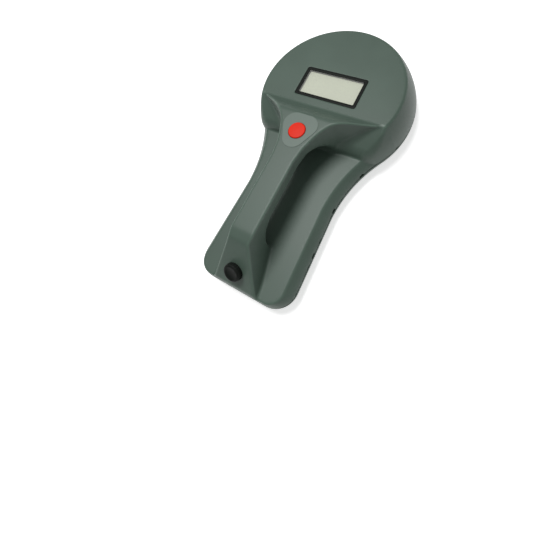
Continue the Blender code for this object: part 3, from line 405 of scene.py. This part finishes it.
def settled(form, points, rounds=3):
    """The points moved onto the form's true surface."""
    for _ in range(rounds):
        value, slope = gradient(form, points)
        steep = np.maximum((slope**2).sum(axis=1), 0.3)
        move = -value[:, None] * slope / steep[:, None]
        far = np.maximum(np.linalg.norm(move, axis=1) / (0.5 * CELL), 1)
        points = points + move / far[:, None]
    return points


def sharpness(form, points, reach=0.9):
    """How strongly the surface bends outwards: 0 on flats, less in hollows, 1 on crisp edges."""
    x, y, z = np.abs(points[:, 0]), points[:, 1], points[:, 2]
    total = -6 * form(x, y, z)
    for step in (reach, -reach):
        total = total + form(np.abs(points[:, 0] + step), y, z)
        total = total + form(x, y + step, z) + form(x, y, z + step)
    return total / reach**2


def moulded(name, form, low, high, bend_form):
    """Smooth casing piece from its form, with the bend of its surface kept for the painted highlight on
    its edges.
    """
    points, quads = net(*sampled(form, low, high))
    points = settled(form, points)
    mesh = bpy.data.meshes.new(name)
    mesh.vertices.add(len(points))
    mesh.loops.add(4 * len(quads))
    mesh.polygons.add(len(quads))
    placed_points = (points + np.array((0, HEAD_Y, 0))) * MM
    mesh.vertices.foreach_set("co", placed_points.astype(np.float32).ravel())
    mesh.loops.foreach_set("vertex_index", quads.astype(np.int32).ravel())
    mesh.polygons.foreach_set("loop_start", np.arange(0, 4 * len(quads), 4, dtype=np.int32))
    mesh.update(calc_edges=True)
    mesh.validate()
    mesh.shade_smooth()
    bend = mesh.attributes.new("bend", "FLOAT", "POINT")
    bend.data.foreach_set("value", np.clip(sharpness(bend_form, points), -1, 1).astype(np.float32))
    made = bpy.data.objects.new(name, mesh)
    bpy.context.scene.collection.objects.link(made)
    return made


# ---------------- materials


def shader_of(name, color, roughness, metallic=0.0, specular=0.5):
    """New material and its shader."""
    made = bpy.data.materials.new(name)
    made.use_nodes = True
    shader = made.node_tree.nodes["Principled BSDF"]
    shader.inputs["Base Color"].default_value = (*color, 1)
    shader.inputs["Roughness"].default_value = roughness
    shader.inputs["Metallic"].default_value = metallic
    shader.inputs["Specular IOR Level"].default_value = specular
    return made, shader


def node(material, kind, **values):
    """New shader node, with its sockets and settings filled in by name."""
    made = material.node_tree.nodes.new(kind)
    for key, value in values.items():
        if key in made.inputs:
            made.inputs[key].default_value = value
        else:
            setattr(made, key, value)
    return made


def link(material, start, end):
    material.node_tree.links.new(start, end)


def tone(color, factor):
    """The colour made lighter or darker, with an alpha of 1."""
    return tuple(min(1.0, value * factor) for value in color) + (1.0,)


EDGE_HIGHLIGHT_TONE = 1.9  # painted highlight: this many times the casing's colour, where it bends most


def plastic(name, color, roughness, grain=0.05, size=0.6, varied=0.06, specular=0.5, bend=0.0):
    """Moulded plastic: fine spark-eroded grain, faint cloudiness, a slightly uneven gloss and, where
    bend is given, a painted highlight on its outward edges.
    """
    made, shader = shader_of(name, color, roughness, specular=specular)
    place = node(made, "ShaderNodeTexCoord")
    cloud = node(made, "ShaderNodeTexNoise", Scale=22.0, Detail=3.0)
    link(made, place.outputs["Object"], cloud.inputs["Vector"])
    ramp = node(made, "ShaderNodeValToRGB")
    ramp.color_ramp.elements[0].color = tone(color, 1 - varied)
    ramp.color_ramp.elements[1].color = tone(color, 1 + varied)
    ramp.color_ramp.elements[0].position = 0.35
    ramp.color_ramp.elements[1].position = 0.65
    link(made, cloud.outputs["Fac"], ramp.inputs["Fac"])
    color_out = ramp.outputs["Color"]
    # painted highlight: the colour is lightened where the surface bends outwards, standing in for the
    # light its crisp edges catch
    if bend:
        painted_highlight_bend = node(made, "ShaderNodeAttribute", attribute_name="bend")
        strength = node(made, "ShaderNodeMapRange")
        strength.inputs["From Min"].default_value = 0.12
        strength.inputs["From Max"].default_value = 0.9
        strength.inputs["To Max"].default_value = bend
        link(made, painted_highlight_bend.outputs["Fac"], strength.inputs["Value"])
        lighter = node(made, "ShaderNodeMix", data_type="RGBA")
        lighter.inputs[7].default_value = tone(color, EDGE_HIGHLIGHT_TONE)
        link(made, strength.outputs["Result"], lighter.inputs[0])
        link(made, color_out, lighter.inputs[6])
        color_out = lighter.outputs[2]
    link(made, color_out, shader.inputs["Base Color"])
    gloss = node(made, "ShaderNodeMapRange")
    gloss.inputs["To Min"].default_value = roughness - 0.05
    gloss.inputs["To Max"].default_value = roughness + 0.05
    link(made, cloud.outputs["Fac"], gloss.inputs["Value"])
    link(made, gloss.outputs["Result"], shader.inputs["Roughness"])
    fine = node(made, "ShaderNodeTexNoise", Scale=1000.0 / size, Detail=2.0)
    link(made, place.outputs["Object"], fine.inputs["Vector"])
    bump = node(made, "ShaderNodeBump", Strength=1.0, Distance=grain * MM)
    link(made, fine.outputs["Fac"], bump.inputs["Height"])
    link(made, bump.outputs["Normal"], shader.inputs["Normal"])
    return made


def metal(name, color, roughness, brushed=400.0):
    """Plated metal with an uneven gloss."""
    made, shader = shader_of(name, color, roughness, metallic=1.0)
    place = node(made, "ShaderNodeTexCoord")
    streaks = node(made, "ShaderNodeTexNoise", Scale=brushed, Detail=3.0)
    link(made, place.outputs["Object"], streaks.inputs["Vector"])
    gloss = node(made, "ShaderNodeMapRange")
    gloss.inputs["To Min"].default_value = roughness - 0.08
    gloss.inputs["To Max"].default_value = roughness + 0.12
    link(made, streaks.outputs["Fac"], gloss.inputs["Value"])
    link(made, gloss.outputs["Result"], shader.inputs["Roughness"])
    bump = node(made, "ShaderNodeBump", Strength=0.5, Distance=0.01 * MM)
    link(made, streaks.outputs["Fac"], bump.inputs["Height"])
    link(made, bump.outputs["Normal"], shader.inputs["Normal"])
    return made


def copper_winding():
    """Enamelled wire, turn on turn, about the vertical."""
    made, shader = shader_of("aerial wire", (0.45, 0.15, 0.05), 0.3, metallic=0.9)
    place = node(made, "ShaderNodeTexCoord")
    turns = node(made, "ShaderNodeTexWave", Scale=1600.0, bands_direction="Z")
    link(made, place.outputs["Object"], turns.inputs["Vector"])
    bump = node(made, "ShaderNodeBump", Strength=1.0, Distance=0.1 * MM)
    link(made, turns.outputs["Fac"], bump.inputs["Height"])
    link(made, bump.outputs["Normal"], shader.inputs["Normal"])
    return made


def display_glass():
    """The display's pale reflective field, a little cloudy as a passive display is."""
    made, shader = shader_of("display field", (0.5, 0.535, 0.4), 0.35)
    place = node(made, "ShaderNodeTexCoord")
    cloud = node(made, "ShaderNodeTexNoise", Scale=60.0, Detail=2.0)
    link(made, place.outputs["Object"], cloud.inputs["Vector"])
    ramp = node(made, "ShaderNodeValToRGB")
    ramp.color_ramp.elements[0].color = (0.49, 0.525, 0.39, 1)
    ramp.color_ramp.elements[1].color = (0.53, 0.565, 0.425, 1)
    link(made, cloud.outputs["Fac"], ramp.inputs["Fac"])
    link(made, ramp.outputs["Color"], shader.inputs["Base Color"])
    return made


def clear_window():
    """Thin clear plastic over the display."""
    made, shader = shader_of("clear window", (1, 1, 1), 0.04)
    shader.inputs["Alpha"].default_value = 0.1
    cloud = node(made, "ShaderNodeTexNoise", Scale=300.0, Detail=2.0)
    gloss = node(made, "ShaderNodeMapRange")
    gloss.inputs["To Min"].default_value = 0.02
    gloss.inputs["To Max"].default_value = 0.08
    link(made, cloud.outputs["Fac"], gloss.inputs["Value"])
    link(made, gloss.outputs["Result"], shader.inputs["Roughness"])
    return made


def circuit_board():
    """Green board with paler tracks."""
    made, shader = shader_of("circuit board", (0.01, 0.09, 0.035), 0.3)
    place = node(made, "ShaderNodeTexCoord")
    tracks = node(made, "ShaderNodeTexVoronoi", Scale=500.0, feature="DISTANCE_TO_EDGE")
    link(made, place.outputs["Object"], tracks.inputs["Vector"])
    ramp = node(made, "ShaderNodeValToRGB")
    ramp.color_ramp.elements[0].color = (0.02, 0.2, 0.08, 1)
    ramp.color_ramp.elements[1].color = (0.008, 0.08, 0.03, 1)
    ramp.color_ramp.elements[1].position = 0.12
    link(made, tracks.outputs["Distance"], ramp.inputs["Fac"])
    link(made, ramp.outputs["Color"], shader.inputs["Base Color"])
    return made


GREEN = (0.074, 0.111, 0.088)
PLATE_GREEN = (0.115, 0.158, 0.132)
RED = (0.78, 0.022, 0.004)
GRAPHITE = (0.008, 0.01, 0.0085)
RUBBER = (0.014, 0.015, 0.014)
# bend=0.5 paints a highlight on the casing's crisp edges, mixing them half way to the lighter tone
casing = plastic("casing plastic", GREEN, 0.44, size=0.7, varied=0.05, specular=0.38, bend=0.5)
red = plastic("button red plastic", RED, 0.55, grain=0.02, size=1.2, varied=0.04, specular=0.2)
plate_finish = plastic("plate plastic", PLATE_GREEN, 0.5, size=0.5, varied=0.05)
black = plastic("black plastic", GRAPHITE, 0.5, grain=0.03, size=0.8, varied=0.15, specular=0.1)
dark_rubber = plastic("soft black rubber", RUBBER, 0.62, grain=0.08, size=0.9, varied=0.2)
grey = plastic("grey inner plastic", (0.3, 0.31, 0.31), 0.5)
wrap = plastic("cell wrap", (0.03, 0.1, 0.28), 0.25, grain=0.02, size=2.0)
lead_red = plastic("red lead sheath", (0.45, 0.02, 0.015), 0.45)
steel = metal("plated steel", (0.62, 0.62, 0.6), 0.3)
copper = copper_winding()
board = circuit_board()
display = display_glass()
window = clear_window()

FINISHES = {
    "grip_cover": casing,
    "lcd_lens": window,
    "lcd_cell": display,
    "lcd_carrier": grey,
    "lcd_header": black,
    "main_board": board,
    "switch_board": board,
    "processor": black,
    "radio_chip": black,
    "reservoir_capacitor": grey,
    "buzzer": black,
    "aerial_former": grey,
    "aerial_winding": copper,
    "button_switch": black,
    "switch_plunger": black,
    "button_spring": steel,
    "battery_tray": black,
    "front_contact": steel,
    "rear_contact": steel,
    "data_socket": steel,
    "socket_nut": steel,
    "battery_lead": lead_red,
    "button_lead": grey,
    "socket_lead": grey,
    "upper_housing": casing,
    "lower_housing": casing,
    "button_plate": plate_finish,
    "scan_button": red,
    "port_cap": black,
    "lcd_frame": black,
    "battery_door": casing,
}
for group, finish in (
    ("battery_spring_", steel),
    ("battery_", wrap),
    ("case_screw_", steel),
    ("rubber_foot_", dark_rubber),
    ("board_screw_", steel),
):
    for name in nodes:
        if name.startswith(group) and name[len(group) :].isdigit():
            FINISHES[name] = finish
for name, finish in FINISHES.items():
    nodes[name].data.materials.clear()
    nodes[name].data.materials.append(finish)

# ---------------- fine pieces


def finished(name, bm, finish, body, replaced):
    """Piece from its mesh, on its body, in place of the CAD node it replaces."""
    bmesh.ops.recalc_face_normals(bm, faces=bm.faces)
    mesh = bpy.data.meshes.new(name)
    bm.to_mesh(mesh)
    bm.free()
    mesh.shade_smooth()
    mesh.set_sharp_from_angle(angle=math.radians(40))
    mesh.materials.append(finish)
    made = bpy.data.objects.new(name, mesh)
    bpy.context.scene.collection.objects.link(made)
    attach(made, body)
    if replaced:
        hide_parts(replaced)
    return made


def skin(bm, loops, closed=True):
    """Skin through loops of as many points each, in millimetres, with flat ends."""
    rings = [[bm.verts.new(Vector(point) * MM) for point in loop] for loop in loops]
    for lower, upper in zip(rings, rings[1:]):
        for i, start in enumerate(lower):
            j = (i + 1) % len(lower)
            bm.faces.new((start, lower[j], upper[j], upper[i]))
    if closed:
        bm.faces.new(rings[0][::-1])
        bm.faces.new(rings[-1])
    else:
        for i, start in enumerate(rings[-1]):
            j = (i + 1) % len(rings[0])
            bm.faces.new((start, rings[-1][j], rings[0][j], rings[0][i]))


def ring_points(radius, z, sides, center=(0.0, 0.0), ripple=0.0, ridges=0):
    """Level circle, rippled where ridges are asked for."""
    points = []
    for i in range(sides):
        turn = 2 * math.pi * i / sides
        reach = radius + ripple * math.cos(ridges * turn)
        points.append((center[0] + reach * math.cos(turn), center[1] + reach * math.sin(turn), z))
    return points


def rounded_loop(half_x, half_y, corner, z, center, steps=8):
    """Level rectangle with rounded corners."""
    points = []
    for quarter, (sx, sy) in enumerate(((1, 1), (-1, 1), (-1, -1), (1, -1))):
        for step in range(steps + 1):
            turn = math.pi / 2 * (quarter + step / steps)
            x = center[0] + sx * (half_x - corner) + corner * math.cos(turn)
            y = center[1] + sy * (half_y - corner) + corner * math.sin(turn)
            points.append((x, y, z))
    return points


def middle_of(node_name):
    """A node's middle and half its size, in millimetres."""
    low, high = corners(node_name)
    return (low + high) / 2, (high - low) / 2


def key():
    """The scan button: softly domed, with a rounded rim and the flange that keeps it in."""
    middle, half = middle_of("scan_button")
    low, high = corners("scan_button")
    flange = 1.5  # wider than the button, and as thick
    rounding = 0.9
    radius = half[0] - flange
    crown = radius - rounding
    shoulder = high[2] - 1.1
    profile = [(half[0], low[2]), (half[0], low[2] + flange)]
    profile += [(radius, low[2] + flange), (radius, shoulder)]
    profile += [
        (crown + rounding * math.cos(turn), shoulder + 0.75 * math.sin(turn))
        for turn in np.linspace(0.2, math.pi / 2, 6)
    ]
    profile += [(crown * share, high[2] - 0.35 * share**2) for share in (0.85, 0.7, 0.5, 0.3, 0.1)]
    bm = bmesh.new()
    skin(bm, [ring_points(r, z, ROUND_SIDES, middle) for r, z in profile])
    finished("domed_scan_button", bm, red, "button", "scan_button")


# round corners of the plate under the button, counted along from the head's centre
PLATE_ROUND = 9.5
PLATE_TIP = (0.0, -60.5)
PLATE_WIDE = (5.5, -49.0)


def plate_outline(grown, z):
    """Wide towards the head, rounded to a tip towards the tail."""
    radius = PLATE_ROUND + grown
    tip, wide = PLATE_TIP, PLATE_WIDE
    right = [
        (tip[0] + radius * math.cos(turn), tip[1] + radius * math.sin(turn))
        for turn in np.radians(np.linspace(-90, -20, 16))
    ]
    right += [
        (wide[0] + radius * math.cos(turn), wide[1] + radius * math.sin(turn))
        for turn in np.radians(np.linspace(-20, 90, 24))
    ]
    left = [(-x, y) for x, y in reversed(right[1:])]
    return [(x, y + HEAD_Y, z) for x, y in right + left]


def key_plate():
    """Plate round the button, with a slim lip over its seat."""
    low, high = corners("button_plate")
    rim = high[2] - low[2]
    heights = (
        (0.0, low[2]),
        (0.0, low[2] + 0.32),
        (0.35, low[2] + 0.33),
        (0.35, high[2] - 0.1),
        (0.25, high[2]),
    )
    bm = bmesh.new()
    skin(bm, [plate_outline(grown, z) for grown, z in heights])
    plate = finished("key_plate", bm, plate_finish, "scanner", "button_plate")
    middle, _ = middle_of("scan_button")
    bm = bmesh.new()
    through = (low[2] - rim, high[2] + rim)
    skin(bm, [ring_points(KEY_HOLE_RADIUS, z, ROUND_SIDES, middle) for z in through])
    cut_with(plate, bm)


def cut_with(target, bm):
    """Takes a helper form out of a piece for good."""
    bmesh.ops.recalc_face_normals(bm, faces=bm.faces)
    mesh = bpy.data.meshes.new("cutter")
    bm.to_mesh(mesh)
    bm.free()
    cutter = bpy.data.objects.new("cutter", mesh)
    bpy.context.scene.collection.objects.link(cutter)
    modifier = target.modifiers.new("cut", "BOOLEAN")
    modifier.operation = "DIFFERENCE"
    modifier.object = cutter
    graph = bpy.context.evaluated_depsgraph_get()
    result = bpy.data.meshes.new_from_object(target.evaluated_get(graph))
    target.modifiers.clear()
    old = target.data
    target.data = result
    bpy.data.meshes.remove(old)
    bpy.data.objects.remove(cutter)
    result.shade_smooth()
    result.set_sharp_from_angle(angle=math.radians(40))


def bezel():
    """Black display frame with eased edges and a slim lip that covers its fit in the casing."""
    middle, half = middle_of("lcd_frame")
    low, high = corners("lcd_frame")
    _, window_half = middle_of("lcd_lens")
    open_x, open_y = window_half[0] + GAP, window_half[1] + GAP
    lip = FACE_TOP + 0.03
    path = (
        (half[0], half[1], 1.7, low[2]),
        (half[0], half[1], 1.7, lip),
        (half[0] + 0.45, half[1] + 0.45, 2.1, lip + 0.01),
        (half[0] + 0.4, half[1] + 0.4, 2.05, high[2] - 0.08),
        (half[0] + 0.2, half[1] + 0.2, 1.9, high[2]),
        (open_x + 0.25, open_y + 0.25, 1.0, high[2]),
        (open_x + 0.05, open_y + 0.05, 0.85, high[2] - 0.1),
        (open_x, open_y, 0.8, high[2] - 0.3),
        (open_x, open_y, 0.8, low[2]),
    )
    bm = bmesh.new()
    skin(bm, [rounded_loop(*row, middle) for row in path], closed=False)
    finished("display_bezel", bm, black, "scanner", "lcd_frame")


def cap():
    """Push-fit dust cap over the socket, with grip ridges round its side."""
    _, half = middle_of("port_cap")
    radius, height, stem, inside = half[0], 5.0, 2.6, 6.15
    reach = (FACET_START - SOCKET_ALONG) / (FACET_START - FACET_END)
    rim = GRIP_TOP - FACET_START_DROP - FACET_DROP * reach
    facet = Matrix.Rotation(FACET_TILT, 4, "X")
    place = Matrix.Translation(Vector((0, HEAD_Y + SOCKET_ALONG, rim)) * MM) @ facet
    bm = bmesh.new()
    # radius, height over the facet, depth of the ridges
    rows = (
        (stem - 0.3, -5.0, 0.0),
        (stem, -4.6, 0.0),
        (stem, 1.6, 0.0),
        (inside, 1.6, 0.0),
        (inside, GAP, 0.0),
        (radius - 0.2, GAP, 0.12),
        (radius - 0.14, 0.5, 0.14),
        (radius - 0.14, height - 1.1, 0.14),
        (radius - 0.35, height - 0.7, 0.08),
        (radius - 0.8, height - 0.3, 0.02),
        (radius - 1.5, height - 0.06, 0.0),
        (radius - 2.4, height, 0.0),
        (radius - 2.9, height - 0.35, 0.0),
        (0.4, height - 0.35, 0.0),
    )
    skin(bm, [ring_points(r, z, 120, ripple=ripple, ridges=24) for r, z, ripple in rows])
    bm.transform(place)
    finished("ridged_dust_cap", bm, black, "cap", "port_cap")


def foot(number):
    """Rubber pad, a little domed underneath."""
    middle, half = middle_of(f"rubber_foot_{number}")
    low, high = corners(f"rubber_foot_{number}")
    radius, dome = half[0], 0.12
    profile = [(radius * share, low[2] + dome * share**4) for share in (0.1, 0.5, 0.8)]
    profile += [
        (radius - 0.6, low[2] + dome),
        (radius - 0.2, low[2] + 0.35),
        (radius, low[2] + 0.7),
        (radius, high[2]),
    ]
    bm = bmesh.new()
    skin(bm, [ring_points(r, z, 56, middle) for r, z in profile])
    replaced = f"rubber_foot_{number}"
    finished(f"rubber_pad_{number}", bm, dark_rubber, "scanner", replaced)


def screw(number):
    """Pan-head screw with a cross recess, seen from below."""
    middle, half = middle_of(f"case_screw_{number}")
    low, high = corners(f"case_screw_{number}")
    head, shank = half[0], 1.5
    seat = low[2] + 2.5
    thread, turn_height = 0.22, 0.55
    rows = [(head - 0.8, low[2]), (head - 0.25, low[2] + 0.2), (head, low[2] + 0.7)]
    rows += [(head, seat), (shank, seat)]
    for i, z in enumerate(np.arange(seat + 0.6, high[2] - 1.2, turn_height)):
        rows.append((shank if i % 2 else shank - thread, z))
    rows.append((0.3, high[2]))
    bm = bmesh.new()
    skin(bm, [ring_points(r, z, 32, middle) for r, z in rows])
    made = finished(f"cross_screw_{number}", bm, steel, "scanner", f"case_screw_{number}")
    narrow, long = 0.38, 1.6  # half the recess's two arms
    for half_x, half_y in ((narrow, long), (long, narrow)):
        bm = bmesh.new()
        loops = [
            rounded_loop(half_x * share, half_y * share, 0.3 * share, z, middle, 2)
            for share, z in ((1.0, low[2] - 1), (1.0, low[2] + 0.2), (0.6, low[2] + 1.3))
        ]
        skin(bm, loops)
        cut_with(made, bm)


def door():
    """Battery door: a flush panel with grip grooves near its free edge, on two hinge pins."""
    low, high = corners("battery_door")
    panel = high[0] - 0.7  # half its width, without the pins
    thick = high[2] - low[2]
    hinge_y, hinge_z = high[1] - thick / 2, low[2] + thick / 2
    ease = 0.3
    profile = [(low[1] + ease, low[2]), (low[1], low[2] + ease)]
    profile += [(low[1], high[2] - ease), (low[1] + ease, high[2])]
    profile += [
        (hinge_y + thick / 2 * math.cos(turn), hinge_z + thick / 2 * math.sin(turn))
        for turn in np.radians(np.linspace(90, -90, 16))
    ]
    bm = bmesh.new()
    skin(bm, [[(x, y, z) for y, z in profile] for x in (-panel, panel)])
    made = finished("flush_battery_door", bm, casing, "door", "battery_door")
    grooves, pitch = 6, 2.4
    bm = bmesh.new()
    for i in range(grooves):
        at = (0, low[1] + 5 + pitch * i)
        reach = 11 - abs(i - (grooves - 1) / 2) * 0.9
        loops = [rounded_loop(reach, 0.65, 0.6, low[2] + depth, at, 4) for depth in (-1, 0.05)]
        loops.append(rounded_loop(reach - 0.4, 0.3, 0.25, low[2] + 0.55, at, 4))
        skin(bm, loops)
    cut_with(made, bm)
    bm = bmesh.new()
    skin(bm, [ring_points(0.6, x, 20) for x in (low[0], high[0])])
    across = Matrix.Rotation(math.pi / 2, 4, "Y")
    bm.transform(Matrix.Translation(Vector((0, hinge_y, hinge_z)) * MM) @ across)
    finished("door_hinge_pins", bm, casing, "door", None)


key()
key_plate()
bezel()
cap()
door()
for number in range(1, 5):
    foot(number)
for number in range(1, 7):
    screw(number)

side, tail = HEAD_RADIUS + MARGIN, -TAIL_REACH - MARGIN
top_piece = moulded(
    "upper_casing",
    upper_shell,
    (0, tail, PARTING - MARGIN),
    (side, side, GRIP_TOP + MARGIN),
    upper_form,
)
bottom_piece = moulded(
    "lower_casing",
    lower_shell,
    (0, tail, UNDERSIDE - MARGIN),
    (side, side, PARTING + MARGIN),
    lower_form,
)
for made, replaced in ((top_piece, "upper_housing"), (bottom_piece, "lower_housing")):
    made.data.materials.append(casing)
    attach(made, "scanner")
    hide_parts(replaced)

# ---------------- studio


def add_floor():
    """White paper that the camera and reflections see a little brighter than its light makes it."""
    mesh = bpy.data.meshes.new("floor")
    reach = 6.0
    ends = [(-reach, -reach, 0), (reach, -reach, 0), (reach, reach, 0), (-reach, reach, 0)]
    mesh.from_pydata(ends, [], [(0, 1, 2, 3)])
    made, shader = shader_of("floor paper", (0.94, 0.94, 0.94), 0.9, specular=0.0)
    shader.inputs["Emission Color"].default_value = (1, 1, 1, 1)
    seen_glow, mirrored_glow = 0.6, 0.5
    rays = node(made, "ShaderNodeLightPath")
    mirrored = node(made, "ShaderNodeMath", operation="MULTIPLY")
    mirrored.inputs[1].default_value = mirrored_glow
    link(made, rays.outputs["Is Glossy Ray"], mirrored.inputs[0])
    strength = node(made, "ShaderNodeMath", operation="MULTIPLY_ADD")
    strength.inputs[1].default_value = seen_glow
    link(made, rays.outputs["Is Camera Ray"], strength.inputs[0])
    link(made, mirrored.outputs[0], strength.inputs[2])
    link(made, strength.outputs[0], shader.inputs["Emission Strength"])
    mesh.materials.append(made)
    floor = bpy.data.objects.new("floor", mesh)
    bpy.context.scene.collection.objects.link(floor)


def add_world():
    """Even dim light, seen by the camera as a white backdrop."""
    world = bpy.data.worlds.new("studio")
    world.use_nodes = True
    background = world.node_tree.nodes["Background"]
    background.inputs["Color"].default_value = (1, 1, 1, 1)
    ambient = 0.28  # what lights the object
    rays = node(world, "ShaderNodeLightPath")
    strength = node(world, "ShaderNodeMath", operation="MULTIPLY_ADD")
    strength.inputs[1].default_value = 1 - ambient
    strength.inputs[2].default_value = ambient
    link(world, rays.outputs["Is Camera Ray"], strength.inputs[0])
    link(world, strength.outputs[0], background.inputs["Strength"])
    bpy.context.scene.world = world


def add_lamp(name, place, target, size, power):
    """Soft round lamp, turned towards its target."""
    lamp = bpy.data.lights.new(name, "AREA")
    lamp.shape = "DISK"
    lamp.size = size
    lamp.energy = power
    made = bpy.data.objects.new(name, lamp)
    made.location = place
    made.rotation_euler = (Vector(target) - Vector(place)).to_track_quat("-Z", "Y").to_euler()
    bpy.context.scene.collection.objects.link(made)


def add_camera():
    """The photograph's viewing angle, as fitted to its outline and features."""
    data = bpy.data.cameras.new("camera")
    data.sensor_width = 36.0
    data.lens = 22.5
    data.shift_x, data.shift_y = -0.057, -0.161
    made = bpy.data.objects.new("camera", data)
    # the picture's rightward and upward directions
    right = Vector((0.8588, 0.4468, -0.2507))
    up = Vector((-0.3392, 0.8626, 0.3753))
    back = right.cross(up).normalized()
    turn = Matrix((right, back.cross(right), back)).transposed()
    made.matrix_world = Matrix.Translation((0.1345, -0.09995, 0.2872)) @ turn.to_4x4()
    bpy.context.scene.collection.objects.link(made)
    bpy.context.scene.camera = made


add_floor()
add_world()
add_lamp("key", (-0.24, 0.18, 1.08), (0, -0.02, 0), 0.5, 9.1)
add_camera()
bpy.context.scene.view_settings.view_transform = "Standard"
